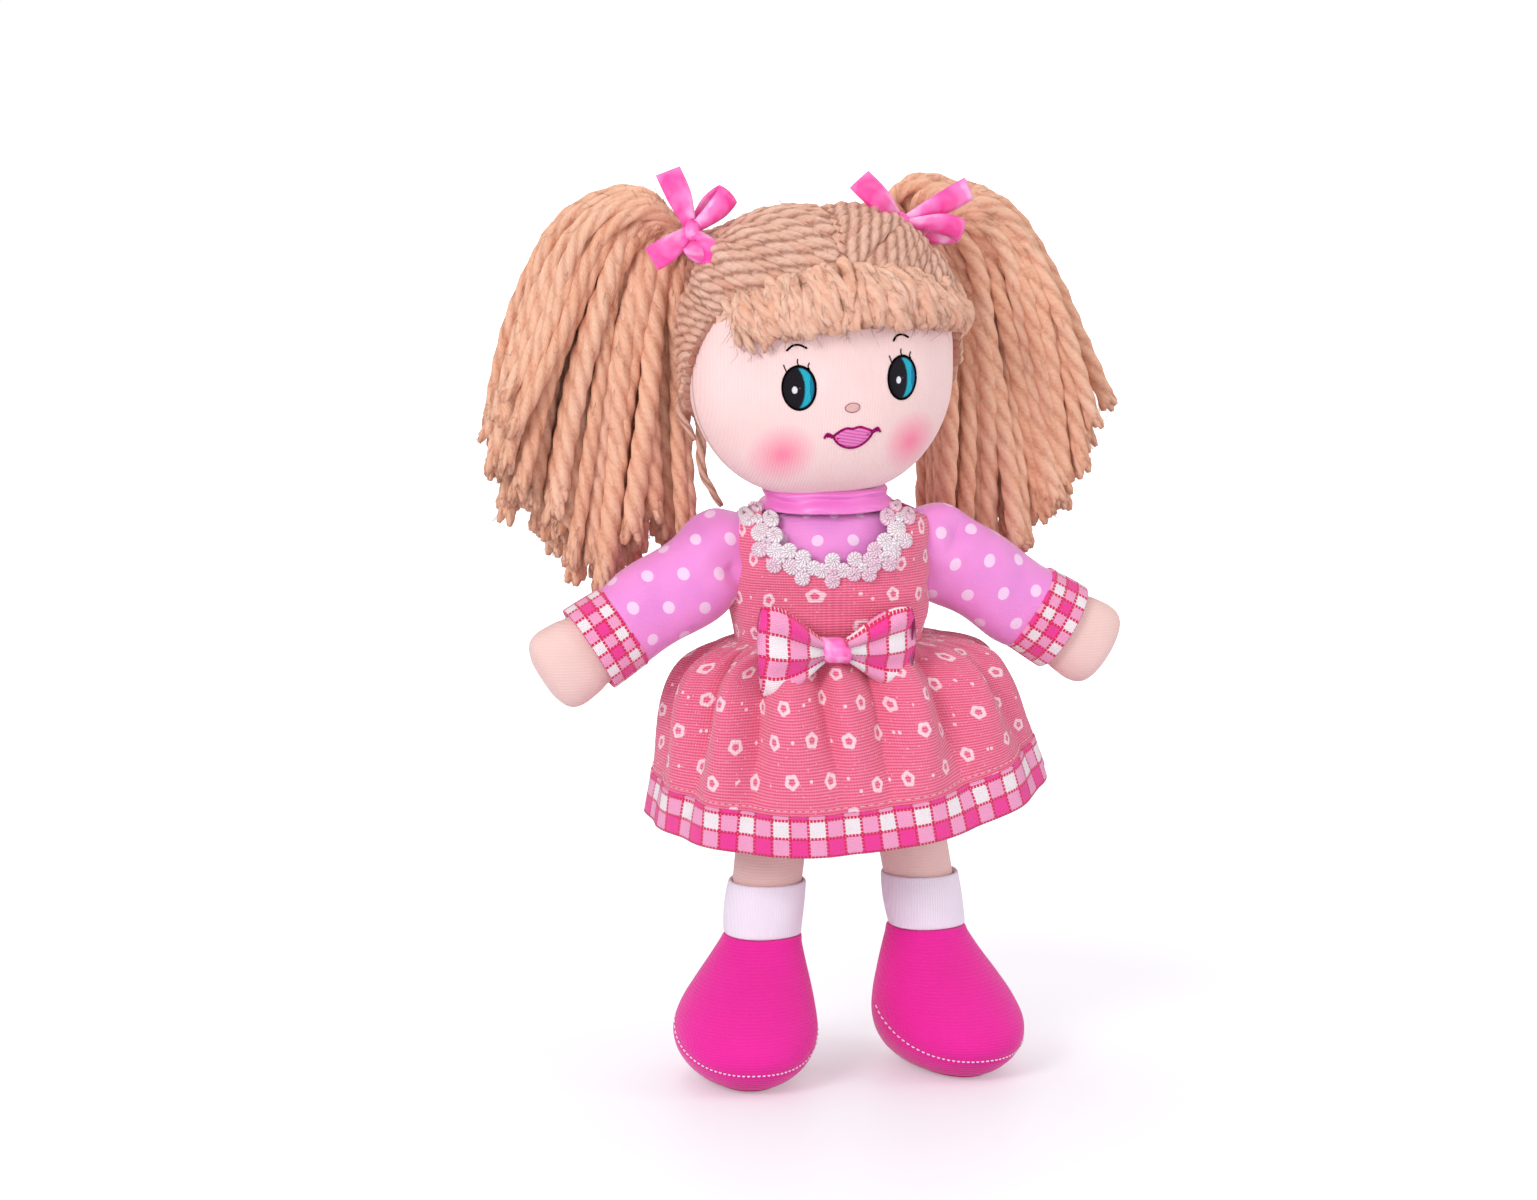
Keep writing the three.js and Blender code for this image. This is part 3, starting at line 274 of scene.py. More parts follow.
def turns_round(count):
    """So many turns evenly round a circle."""
    return np.arange(count) / count * 2 * math.pi


def grid(cloth, columns, first=0):
    """Four-sided faces over rows of points, and the place of each face corner on the cloth."""
    faces, corners = [], []
    for r in range(len(cloth) - 1):
        row = first + r * columns
        for c in range(cloth.shape[1] - 1):
            d = (c + 1) % columns
            faces.append((row + c, row + d, row + columns + d, row + columns + c))
            corners += [cloth[r, c], cloth[r, c + 1], cloth[r + 1, c + 1], cloth[r + 1, c]]
    return faces, corners


def skin(name, rings, paint, around=True, capped=True, cloth=None):
    """A surface through rings of points; the cloth's own measure runs round and down it."""
    rings = np.asarray(rings, float)
    rows, columns = rings.shape[:2]
    if cloth is None:
        across = gaps(looped(rings) if around else rings, 1).mean(axis=0)
        down = gaps(rings, 0).mean(axis=1)
        cloth = np.stack(np.meshgrid(summed(across), summed(down)), axis=2) * MM
    points = rings.reshape(-1, 3).tolist()
    faces, corners = grid(cloth, columns)
    if capped:
        for r in (0, rows - 1):
            points.append(rings[r].mean(axis=0).tolist())
            for c in range(columns):
                faces.append((r * columns + c, r * columns + (c + 1) % columns, len(points) - 1))
                corners += [cloth[r, c], cloth[r, c + 1], cloth[r, c]]
    return piece(name, points, faces, corners, paint, closed=capped)


def stuffed(name, node, rings, paint, body):
    """A stuffed piece that stands for one solid and moves with its body."""
    made = skin(name, rings, paint)
    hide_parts(node)
    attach(made, body)


def head_reach(z):
    """The head's half width at a height over its centre, as a share of the widest."""
    squareness = np.where(z > 0, CROWN_SQUARENESS, JAW_SQUARENESS)
    share = np.clip(np.abs(z) / np.where(z > 0, HEAD_HALF[2], JAW_HALF), 0, 1)
    return (1 - share**squareness) ** (1 / squareness)


def head_skin(direction, grow):
    """The point of the head's surface, grown by so many millimetres, in a direction from its centre."""
    up = direction[..., 2] > 0
    squareness = np.where(up, CROWN_SQUARENESS, JAW_SQUARENESS)
    tall = np.abs(direction[..., 2]) / (np.where(up, HEAD_HALF[2], JAW_HALF) + grow)
    flat = np.hypot(direction[..., 0] / (HEAD_HALF[0] + grow), direction[..., 1] / (HEAD_HALF[1] + grow))
    size = (flat**squareness + tall**squareness) ** (1 / squareness)
    return HEAD_CENTRE + direction / size[..., None]


def on_face(x, z, out):
    """The point of the face at a place in the front view, x from its middle, raised by so much."""
    reach = head_reach(z - HEAD_CENTRE[2])
    y = -HEAD_HALF[1] * reach * np.sqrt(np.maximum(1 - (x / (HEAD_HALF[0] * reach)) ** 2, 0.02))
    return np.stack([x + HEAD_CENTRE[0], y - out, z], axis=-1)


def sphere(lifts, turns):
    """Directions from the head's centre in rings; turn 0 is the doll's left and lift 0 is level."""
    lift, turn = np.meshgrid(lifts, turns, indexing="ij")
    return np.stack([np.cos(turn) * np.cos(lift), np.sin(turn) * np.cos(lift), np.sin(lift)], axis=-1)


def shade(colour, *shares):
    """A colour with its red, green and blue weakened, all by one share or each by its own."""
    return (*(part * share for part, share in zip(colour[:3], shares * 3)), 1)


def knit(name, colour, rib=1.1, relief=0.00012, upright=True, contrast=0.1):
    """Fine ribbed knit over stuffing, with painted shade in the grooves between the ribs."""
    paint = Paint(name, roughness=0.85, Sheen_Weight=0.25, Sheen_Roughness=0.4)
    x, y, z = paint.axes("Object")
    whole = paint.vector(x, y, z)
    ribs = (x if upright else z).wave(rib * MM)
    cross = (z if upright else x).wave(0.8 * MM)
    blotch = paint.noise(whole, 45.0)
    worn = paint.mix(blotch.over(0.5, 0.5) * 0.35, colour, shade(colour, 0.816, 0.744, 0.72))
    # Painted shade: the colour is darkened in the grooves between the ribs and the cross rows.
    groove_shade = (1 - ribs) * contrast + (1 - cross) * 0.04
    paint.colour = paint.mix(groove_shade, worn, shade(colour, 0.64, 0.544, 0.496))
    paint.relief = ribs * 0.7 + cross * 0.3 + paint.noise(whole, 900.0) * 0.5
    return paint.wear(paint.colour, paint.relief, relief)


face_knit = knit("face knit", tint(249, 222, 219))
face_x, face_y, face_z = face_knit.axes("Object")
ROUGE_X, ROUGE_Z, ROUGE_RADIUS = 26.0, 250.5, 13.0
HEAD_ROLL, FACE_SHIFT = math.radians(3.4), 2.8
level_x = face_x - (HEAD_CENTRE[0] + FACE_SHIFT) * MM
level_z = face_z - level_x * math.tan(HEAD_ROLL)
across = (level_x.maths("ABSOLUTE") - ROUGE_X * MM) / (ROUGE_RADIUS * MM)
along = (level_z - ROUGE_Z * MM) / (ROUGE_RADIUS * MM)
rouge = (1 - across.far(along)).maths("MAXIMUM", 0)
rouge = rouge.over(0.42, 0.95) * face_y.over(0, -0.004) * 0.85
seam = (face_y + 0.002).maths("ABSOLUTE").over(0.0005, -0.0005)
rouged = face_knit.mix(rouge, face_knit.colour, tint(248, 120, 158))
sewn_panels = face_knit.mix(seam * 0.45, rouged, tint(196, 140, 128))
face_knit.wear(sewn_panels, face_knit.relief - seam * 6, 0.00012)

HEAD_ROWS, HEAD_COLUMNS = 72, 112
CHEEK_Z, CHEEK_TALL, CHEEK_SWELL = 264, 15, 0.018
lifts = (np.arange(HEAD_ROWS) + 0.5) / HEAD_ROWS * math.pi - math.pi / 2
rings = head_skin(sphere(lifts, turns_round(HEAD_COLUMNS)) * HEAD_HALF, 0.0)
rings[..., 0] *= 1 + CHEEK_SWELL * np.exp(-(((rings[..., 2] - CHEEK_Z) / CHEEK_TALL) ** 2))
stuffed("head_pad", "head", rings, face_knit, "head")


def smooth_values(values, at):
    """A smooth curve through values at whole numbers, read at other places."""
    k = np.clip(np.floor(at).astype(int), 0, len(values) - 2)
    t = at - k
    before, after = values[np.maximum(k - 1, 0)], values[np.minimum(k + 2, len(values) - 1)]
    start, end = values[k], values[k + 1]
    slope, next_slope = (end - before) / 2, (after - start) / 2
    return (
        (2 * t**3 - 3 * t**2 + 1) * start
        + (t**3 - 2 * t**2 + t) * slope
        + (3 * t**2 - 2 * t**3) * end
        + (t**3 - t**2) * next_slope
    )


def curve(knots, count):
    """So many rows on a smooth curve through a few rows of values."""
    knots = np.array(knots, float)
    at = np.linspace(0, len(knots) - 1, count)
    return np.stack([smooth_values(column, at) for column in knots.T], axis=1)


def power(values, exponent):
    """A power that keeps the sign; on a sine and a cosine it squares or pinches their oval."""
    return np.sign(values) * np.abs(values) ** exponent


def ovals(stations, count, sides, squareness=2.0, wave=None):
    """Level rings through a few stations of height, x, y, half width and half depth."""
    turns = turns_round(sides)
    u, v = power(np.cos(turns), 2 / squareness), power(np.sin(turns), 2 / squareness)
    rings = []
    for k, (z, x, y, a, b) in enumerate(curve(stations, count)):
        grow = wave(k / (count - 1), turns) if wave else 0
        rings.append(np.stack([x + (a + grow) * u, y + (b + grow) * v, np.full(sides, z)], axis=1))
    return np.array(rings)


limb_knit = knit("limb knit", tint(240, 204, 199), rib=1.2, upright=False)
NECK_ROWS = [
    [224.7, 0, 0, 9, 8], [226, 0, 0, 15, 12.5], [229, 0, 0, 17, 14], [232, 0, 0, 15, 12.5],
    [233.6, 0, 0, 9, 8],
]
stuffed("neck_pad", "neck", ovals(NECK_ROWS, 14, 48), limb_knit, "neck")

# Eyes, brows, nose and mouth: satin stitch in glossy thread, worked through the face before it is
# stuffed. Each stands a little proud of the knit, and the lashes and brows are single heavy threads.

SIDES = ((1, "left"), (-1, "right"))
FACE_MIDDLE, PROUD = 265, 0.15
ROW_STEP, FIRST_TURN = 2.2, 2.4


def thread_paint(name, colour, roughness=0.5, shine=0.25, step=0.00055, stitch_shade=0.35, relief=0.00018):
    """Stranded thread, worked in stitches side by side, with painted shade between the stitches."""
    paint = Paint(name, roughness=roughness, Specular_IOR_Level=shine)
    u, v, _ = paint.axes("UV")
    stitches = (u * 0.25 + v).wave(step)
    fleck = paint.noise(paint.vector(u * 3, v), 900.0)
    # Painted shade between the stitches, mixed with random flecks.
    shaded_and_flecked = paint.mix((1 - stitches) * stitch_shade + fleck * 0.2, colour, shade(colour, 0.55))
    return paint.wear(shaded_and_flecked, stitches + fleck * 0.4, relief)


def sewn(made, body, node=None):
    """A piece gets its body, and some stand for a solid."""
    if node:
        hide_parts(node)
    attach(made, body)


def on_rolled_face(x, z, out):
    """The point of the face whose features are set a little aside and rolled about their middle."""
    x, z = x + FACE_SHIFT, z - FACE_MIDDLE
    c, s = math.cos(HEAD_ROLL), math.sin(HEAD_ROLL)
    return on_face(x * c - z * s, FACE_MIDDLE + x * s + z * c, out)


def patch(name, node, centre, outline, paint, rise=0.75, rows=9):
    """A domed patch of stitches inside an outline, which is given round its centre in the front view."""
    outline = np.array(outline, float)
    rings, cloth = [], []
    for share in [1.01, *np.linspace(1, 0.04, rows)]:
        flat = outline * share
        out = -0.4 if share > 1 else PROUD + (rise - PROUD) * (1 - share**6)
        rings.append(on_rolled_face(flat[:, 0] + centre[0], flat[:, 1] + centre[1], out))
        cloth.append(np.concatenate([flat, flat[:1]]) * MM)
    sewn(skin(name, rings, paint, capped=False, cloth=np.array(cloth)), "head", node)


def stitched_line(name, lines, radius, paint, node=None):
    """Heavy threads laid on the face along lines of the front view."""
    paths = [on_rolled_face(*curve(line, 6 * len(line)).T, PROUD) for line in lines]
    sewn(strands(name, paths, radius, paint, sides=6, tip=0.5), "head", node)


def unit(vectors):
    """Directions of length 1."""
    return vectors / (np.linalg.norm(vectors, axis=-1, keepdims=True) + 1e-9)


def strands(name, paths, radius, paint, sides=8, tip=0.7, swell=None, pitch=0.0, ply=0.1):
    """Round threads along paths; the cloth's measure counts round each thread, then along it.
    With a pitch the thread is laid of three plies, which turn once in that many millimetres."""
    points, faces, corners, first = [], [], [], 0
    turns = turns_round(sides)
    plies = 1 + ply * np.cos(3 * turns) if pitch else np.ones(sides)
    column = np.arange(sides)
    beside = (column + 1) % sides
    for k, way in enumerate(paths):
        way = np.asarray(way, float)
        length = summed(gaps(way, 0))
        if pitch:
            at = np.linspace(0, length[-1], max(int(length[-1] / ROW_STEP), 5))
            way = np.stack([np.interp(at, length, way[:, c]) for c in range(3)], axis=1)
            length = at
        rows = len(way)
        step = unit(np.gradient(way, axis=0))
        side = np.cross(step[0], [0.3, 0.9, 0.1])
        sidelong = np.empty((rows, 3))
        for r in range(rows):
            side = unit(side - step[r] * side.dot(step[r]))
            sidelong[r] = side
        upright = np.cross(step, sidelong)
        thick = np.full(rows, radius[k] if np.ndim(radius) else radius)
        if swell:
            thick *= swell(length / length[-1])
        thick[0] *= tip
        thick[-1] *= tip
        laid = k * FIRST_TURN - length * 2 * math.pi / pitch if pitch else np.zeros(rows)
        lay = turns + laid[:, None]
        reach = (thick[:, None] * plies)[..., None]
        ring = way[:, None] + reach * np.cos(lay)[..., None] * sidelong[:, None]
        points.append((ring + reach * np.sin(lay)[..., None] * upright[:, None]).reshape(-1, 3))
        here = first + np.arange(rows - 1)[:, None] * sides
        quads = [here + column, here + beside, here + beside + sides, here + column + sides]
        faces += np.stack(quads, axis=2).reshape(-1, 4).tolist()
        shape = (rows - 1, sides)
        low, high = (np.broadcast_to(ends[:, None] * MM, shape) for ends in (length[:-1], length[1:]))
        left = np.broadcast_to(k + column / sides, shape)
        right = left + 1 / sides
        corners.append(np.stack([left, low, right, low, right, high, left, high], axis=2).reshape(-1, 2))
        faces.append((first + column[::-1]).tolist())
        faces.append((first + (rows - 1) * sides + column).tolist())
        corners.append(np.tile([[k + 0.5, 0.0]], (sides, 1)))
        corners.append(np.tile([[k + 0.5, length[-1] * MM]], (sides, 1)))
        first += rows * sides
    return piece(name, np.concatenate(points), faces, np.concatenate(corners), paint, closed=False)


black = thread_paint("black thread", tint(12, 8, 14), 1.0, 0.02)
EYE_X, EYE_Z, EYE_HALF = 20.9, 277.0, (6.2, 8.6)
eye_paint = Paint("eye stitches", roughness=0.6, Specular_IOR_Level=0.15)
eye_u, eye_v, _ = eye_paint.axes("UV")


def inside(u, v, x, y, a, b, soft=0.08):
    """1 inside an oval of the cloth, in millimetres."""
    return ((u - x * MM) / (a * MM)).far((v - y * MM) / (b * MM)).over(1.0, -soft)


stitches = (eye_u + eye_v * 0.15).wave(0.0006)
ragged_u = eye_u + eye_paint.noise(eye_paint.vector(eye_u, eye_v), 1500.0) * 0.0006
iris = inside(eye_u, eye_v, 0.1, 0, 5.3, 7.7)
crescent = iris * (1 - inside(ragged_u, eye_v, -4.9, 0, 7.2, 11))
glint = inside(ragged_u, eye_v, -1.6, -0.6, 1.0, 1.4, 0.3)
# Painted highlights: the teal and the black are lighter along the crest of each stitch.
teal = eye_paint.mix(stitches * 0.6, tint(0, 160, 190), tint(70, 212, 232))
teal = eye_paint.mix(inside(eye_u, eye_v, 5.4, -1, 1.6, 8), teal, tint(14, 128, 166))
dark = eye_paint.mix(stitches * 0.3, tint(10, 7, 14), tint(30, 24, 38))
eye_colour = eye_paint.mix(glint, eye_paint.mix(crescent, dark, teal), tint(240, 240, 250))
eye_paint.wear(eye_colour, stitches, 0.0002)


def oval_line(centre, half, count):
    """A closed line of so many steps round an oval."""
    turns = np.arange(count + 1) / count * 2 * math.pi
    return np.array(centre) + np.stack([np.cos(turns), np.sin(turns)], axis=1) * half


LASHES = ((-4.4, 6.6, 0.9), (0.3, 8.6, 0.3), (4.2, 6.9, -0.1))
for side, name in SIDES:
    x = side * EYE_X
    outline = oval_line((0, 0), EYE_HALF, 48)[:-1]
    patch(name + "_eye_stitches", name + "_eye", (x, EYE_Z), outline, eye_paint, 0.9, 12)
    lashes = [
        [(x + at, EYE_Z + z), (x + at - 0.5, EYE_Z + z + 1.3), (x + at - bend, EYE_Z + z + 2.8)]
        for at, z, bend in LASHES
    ]
    stitched_line(name + "_eye_rim", [oval_line((x, EYE_Z), EYE_HALF, 24)], 0.42, black)
    stitched_line(name + "_lashes", lashes, 0.24, black)
    arc = [(x - 3.6 + side * 0.4, 291.6), (x - 1.6, 293.5), (x + 1, 293.7), (x + 3.8, 292.2)]
    stitched_line(name + "_brow_thread", [arc], 0.42, black, name + "_brow")

NOSE, NOSE_HALF = (-0.5, 267.6), (2.9, 1.8)
nose_paint = thread_paint("nose thread", tint(255, 206, 200), 0.6)
nose_edge = thread_paint("nose edge thread", tint(232, 160, 158), 0.6)
outline = oval_line((0, 0), NOSE_HALF, 48)[:-1]
patch("nose_stitches", "nose", NOSE, outline, nose_paint, 0.5)
stitched_line("nose_rim", [oval_line(NOSE, NOSE_HALF, 12)], 0.2, nose_edge)

MOUTH, MOUTH_HALF = (-0.4, 256.3), 8.0
lip_paint = thread_paint("lip thread", tint(250, 132, 206), 0.6, 0.25, 0.0013, 0.8)
lip_edge = thread_paint("lip edge thread", tint(214, 22, 140), 0.7, 0.1)
upper = [(-MOUTH_HALF, 0.4), (-5.4, 2.2), (-2.6, 3.2), (0, 2.8), (2.6, 3.3), (5.2, 2.4), (MOUTH_HALF, 0.8)]
lower = [(6.6, -1.7), (4.6, -3.4), (2.4, -4.5), (0, -4.9), (-2.4, -4.6), (-4.6, -3.6), (-6.6, -1.9)]
patch("mouth_stitches", "mouth", MOUTH, upper + lower, lip_paint, 0.7)
smile = [(-6.6, -0.6), (-3, -0.1), (0, -0.8), (3, 0.1), (6.6, 0.1)]
lip_fold = [(-4.6, -1.4), (-1.5, -2.5), (1.5, -2.5), (4.6, -1.2)]
curls = (
    ((7.4, 0.2), (9, 1.4), (10.2, 1.9), (10.9, 1.0), (11.4, 0.0)),
    ((8.2, 0.2), (9.6, 0.9), (10.4, 0.6)),
)
lines = [[*upper, *lower, upper[0]], smile, lip_fold]
for side, _ in SIDES:
    lines += [[(side * x, z + side * 0.2) for x, z in curl] for curl in curls]
stitched_line("lip_edges", [np.array(line) + MOUTH for line in lines], 0.5, lip_edge)

# Hair: thick loosely spun yarn of three plies. It is sewn to the head at the parting and the hairline,
# drawn back over the head on each side and gathered in a covered elastic band high behind the ear.
# The deep colours are the painted shade between the plies and the colour of random darker fibres.
YARN_LIGHT, YARN_WARM, YARN_DEEP = tint(252, 206, 178), tint(234, 162, 124), tint(186, 92, 54)
YARN_PITCH, SCALP_PITCH, FLUFFY_PITCH = 34.0, 25.0, 30.0


def yarn_paint(name, light, warm, deep, groove_shade=0.4):
    """Spun fibres in three plies, with painted shade between the plies; the crown of each ply keeps the paler
    colours.
    """
    wool_sheen = tint(255, 206, 170)
    paint = Paint(name, roughness=0.95, Sheen_Weight=0.25, Sheen_Roughness=0.5, Sheen_Tint=wool_sheen)
    u, v, _ = paint.axes("UV")
    strand = u.maths("FLOOR")
    lot = paint.chance(paint.vector(strand, 3.0))
    place = paint.vector(u * 0.021, v, strand)
    crown = (u * (6 * math.pi)).maths("COSINE") * 0.5 + 0.5
    fibres = paint.noise(paint.vector(u * 0.021 + v * 0.12, v * 0.16, strand), 2600.0, 3.0)
    wool = paint.noise(place, 700.0, 3.0)
    cloud = paint.noise(place, 55.0)
    colour = paint.mix(cloud.over(0.5, 0.5) * 0.55 + lot * 0.4, light, warm)
    # Painted shade between the plies, mixed with random darker fibres.
    shade_between_plies = (1 - crown).maths("POWER", 2.2)
    colour = paint.mix(shade_between_plies * groove_shade + fibres.over(0.60, 0.3) * 0.22, colour, deep)
    colour = paint.mix(wool.over(0.56, 0.3) * 0.3, colour, tint(252, 222, 202))
    return paint.wear(colour, fibres * 0.8 + wool * 0.6 + crown * 0.3, 0.0007)


yarn = yarn_paint("yarn", YARN_LIGHT, YARN_WARM, YARN_DEEP)
scalp_paint = yarn_paint("scalp yarn", tint(243, 203, 183), tint(218, 154, 130), tint(144, 76, 56), 0.7)
fluffy_yarn = yarn_paint("fluffy yarn", tint(255, 216, 194), tint(240, 174, 142), tint(206, 116, 80), 0.25)
TIE = np.array([47.0, 33.0, 327.0])
SCALP_YARN = 3.1
chance = np.random.default_rng(7)


def fuzz(name, ways, sizes, every, reach):
    """Loose fibres that stand off the yarns: each leaves its yarn slowly and bends away."""
    hairs = []
    for way, size in zip(ways, sizes):
        way = np.asarray(way, float)
        steps = np.diff(way, axis=0)
        for _ in range(int(gaps(way, 0).sum() / every)):
            k = chance.integers(0, len(steps))
            along = unit(steps[k])
            out = unit(np.cross(along, chance.standard_normal(3)))
            start = way[k] + out * size * 0.85
            long = reach * chance.uniform(0.4, 1.2)
            bend = chance.standard_normal(3) * 0.25
            middle = start + (along * 0.5 + out * 0.14) * long
            hairs.append([start, middle, start + (along * 0.85 + out * 0.5 + bend) * long])
    return strands(name, hairs, 0.11, yarn, sides=3, tip=0.6)


def ease(t):
    """A soft step from 0 to 1."""
    t = np.clip(t, 0, 1)
    return t * t * (3 - 2 * t)


def scalp_way(root, side, rank):
    """The way of one yarn over the head, from its root to the gathered bunch at the tie."""
    tie = TIE * (side, 1, 1)
    start = unit((root - HEAD_CENTRE) / HEAD_HALF)
    end = unit((tie - HEAD_CENTRE) / HEAD_HALF)
    angle = math.acos(np.clip(start.dot(end), -1, 1))
    t = np.linspace(0, 1, 30)
    lines = np.sin((1 - t) * angle)[:, None] * start + np.sin(t * angle)[:, None] * end
    lines /= math.sin(angle)
    sag = np.sin(t * math.pi) ** 1.2 * 0.34 * float(np.clip((0.35 - start[2]) / 0.6, 0, 1))
    lines[:, 1] += sag * 0.5
    lines[:, 2] -= sag
    wobble = np.cross(start, end) * (np.sin(t * math.pi * 2 + rank) * 0.012)[:, None]
    grow = 1.4 + 2.6 * ease(t / 0.5) * (0.25 + 0.75 * (rank * 0.618 % 1))
    grow += (9 if side < 0 else 6) * ease((t - 0.62) / 0.38)
    way = head_skin((lines + wobble) * HEAD_HALF, 0.0)
    outward = unit(way - HEAD_CENTRE)
    way = way + outward * grow[:, None]
    spot = rank * 2.4
    target = tie + np.array([math.cos(spot) * 4.5, math.sin(spot) * 3.5, -2 + math.sin(spot * 1.7) * 3])
    share = ease((t - 0.6) / 0.4)[:, None]
    return way * (1 - share) + target * share


def hairline(side):
    """Roots of one side's yarns: along the parting, the front, the temple and the nape."""
    roots = []
    for turn in np.radians(np.arange(-52, 128, 6.6)):
        roots.append(head_skin(np.array([side * 1.3, math.sin(turn) * 39, math.cos(turn) * 52]), 1.0))
    front, temple, ear, nape = (
        np.array([side * 4.0, -34, 318]),
        np.array([side * 48.5, -16, 300]),
        np.array([side * 51.0, 5, 268]),
        np.array([side * 3.0, 37, 250]),
    )
    for first, last, count in ((front, temple, 11), (temple, ear, 9), (ear, nape, 11)):
        for share in (np.arange(count) + 0.5) / count:
            middle = first * (1 - share) + last * share - HEAD_CENTRE * (0, 1, 1)
            roots.append(head_skin(middle, 1.0))
    return roots


NET_LIFTS, NET_TURNS = np.radians(np.linspace(88, -37, 26)), np.radians(np.linspace(-93, 93, 36))
NET_HEIGHTS, NET_EDGE = [246, 250, 259, 267, 296, 312, 345], [48, 35, 19, 6, -12, -36, -60]


def scalp_net(side):
    """The netting under the yarn that closes the gaps between the strands."""
    points = head_skin(sphere(NET_LIFTS, NET_TURNS) * HEAD_HALF * (side, 1, 1), 2.2)
    y, z = points[..., 1], points[..., 2]
    edge = np.interp(z, NET_HEIGHTS, NET_EDGE)
    bare = np.maximum(edge - y, 0)
    points[..., 1] = np.maximum(y, edge)
    inside_head = head_skin(points - HEAD_CENTRE, -1.0)
    return np.where((bare > 0.5)[..., None], inside_head, points)


def narrowing(t):
    """The yarns are pressed thinner towards the band."""
    return 1 - 0.35 * ease((t - 0.45) / 0.5)


LOOSE_ENDS = [
    [(-50, 16, 282), (-54, 15, 270), (-56.5, 14, 262), (-53.5, 14, 255), (-51, 13, 249.5)],
    [(-44, 26, 276), (-46, 25, 262), (-46, 22, 250), (-46, 21, 237), (-42.5, 20, 229), (-38.5, 19, 222)],
]
for side, name in SIDES:
    ways = [scalp_way(root, side, k + 0.37 * (side > 0)) for k, root in enumerate(hairline(side))]
    sizes = (SCALP_YARN * (1 + 0.16 * chance.standard_normal(len(ways)))).tolist()
    if side < 0:
        ways += [curve(loose, 40) for loose in LOOSE_ENDS]
        sizes += [2.1] * len(LOOSE_ENDS)
    scalp = strands(
        name + "_scalp_yarn", ways, sizes, scalp_paint, sides=12, swell=narrowing, pitch=SCALP_PITCH, ply=0.14
    )
    net = skin(name + "_scalp_net", scalp_net(side), scalp_paint, around=False, capped=False)
    loose = fuzz(name + "_scalp_fuzz", ways, sizes, 5.0, 6.0)
    sewn(scalp, "head", name + "_scalp_hair")
    sewn(net, "head")
    sewn(loose, "head")

# Fringe: a row of short yarn loops, brushed until it is fluffy and sewn across the forehead in front of
# the scalp yarns. A few cut ends hang loose over the doll's right eye.
FRINGE_FROM, FRINGE_TO, FRINGE_LOOPS = -36.0, 48.0, 84
FRINGE_TOPS = ([0, 0.2, 0.42, 0.75, 1], [309, 316, 321, 317.5, 308])
FRINGE_ENDS = ([0, 0.25, 0.5, 0.8, 1], [294.0, 296.0, 298.5, 298, 294.0])
LOOP = np.linspace(0, 1, 22)
LOOP_DROP = np.where(LOOP < 0.8, LOOP * 1.2, 0.96 - (LOOP - 0.8) * 1.1)
LOOP_BULGE = np.sin(math.pi * np.minimum(LOOP * 0.94 + 0.05, 1)) ** 0.7


def over_forehead(x, z, out):
    """Points in front of the forehead, at places of the front view."""
    return head_skin(on_face(np.clip(x, -50, 50), z, 0.0) - HEAD_CENTRE, out)


def fringe_ring(share, bulge):
    """A fold of brushed yarn over the forehead, from its top seam out, down and back to the face."""
    x = FRINGE_FROM + (FRINGE_TO - FRINGE_FROM) * share + 1.2 * np.sin(9 * share * 6.28 + 5 * LOOP)
    top, bottom = np.interp(share, *FRINGE_TOPS), np.interp(share, *FRINGE_ENDS)
    out = 1.0 + bulge * LOOP_BULGE * (0.86 + 0.14 * np.sin(11 * share * 6.28 + 4 * LOOP))
    return over_forehead(x, top + (bottom - top) * LOOP_DROP, out)


folds = [
    fringe_ring(share, 5.6 * min(1, 0.4 + 6 * share, 0.5 + 6 * (1 - share)))
    for share in np.linspace(0.01, 0.99, 120)
]
fringe_roll = skin("fringe_roll", folds, fluffy_yarn, around=False, capped=False)
loops, loop_sizes = [], []
for k in range(FRINGE_LOOPS):
    share = (k + 0.5) / FRINGE_LOOPS
    x = FRINGE_FROM + (FRINGE_TO - FRINGE_FROM) * share
    top = np.interp(share, *FRINGE_TOPS) + chance.uniform(-2.0, 1.5)
    bottom = np.interp(share, *FRINGE_ENDS) + chance.uniform(-2.6, 2.4)
    lean = 3.5 * chance.standard_normal() + 5.0
    bulge = chance.uniform(3.8, 7.4) * np.interp(share, [0, 0.15, 0.85, 1], [0.7, 1, 1, 0.8])
    phase = chance.uniform(0, 6.28)
    out = 1.5 + bulge * LOOP_BULGE + 0.5 * np.sin(9 * LOOP + phase)
    x = x + lean * (LOOP - 0.5) + 1.3 * np.sin(6 * LOOP + phase)
    loops.append(over_forehead(x, top + (bottom - top) * LOOP_DROP, out))
    loop_sizes.append(chance.uniform(1.6, 2.7))
TUFT_LENGTHS = (12, 17, 20, 15, 21, 17, 19, 14, 18, 13)
for k, length in enumerate(TUFT_LENGTHS):
    t = np.linspace(0, 1, 12)
    x = -40.5 + k * 2.5 + 2.0 * t + 1.4 * np.sin(3.4 * t + k * 1.7)
    loops.append(over_forehead(x, 307 + k * 0.9 - length * t, 7.0 - 3.5 * t * t))
    loop_sizes.append(1.7)


def uneven(t):
    """Brushed loops are thicker in the middle and lumpy."""
    return 0.8 + 0.3 * np.sin(math.pi * t) ** 0.7 + 0.12 * np.sin(17 * t)


fringe = strands(
    "fringe_loops", loops, loop_sizes, fluffy_yarn, sides=9, tip=0.4, swell=uneven, pitch=FLUFFY_PITCH
)
loose = fuzz("fringe_fuzz", loops, loop_sizes, 1.6, 6.5)
sewn(fringe, "head", "fringe")
sewn(fringe_roll, "head")
sewn(loose, "head")

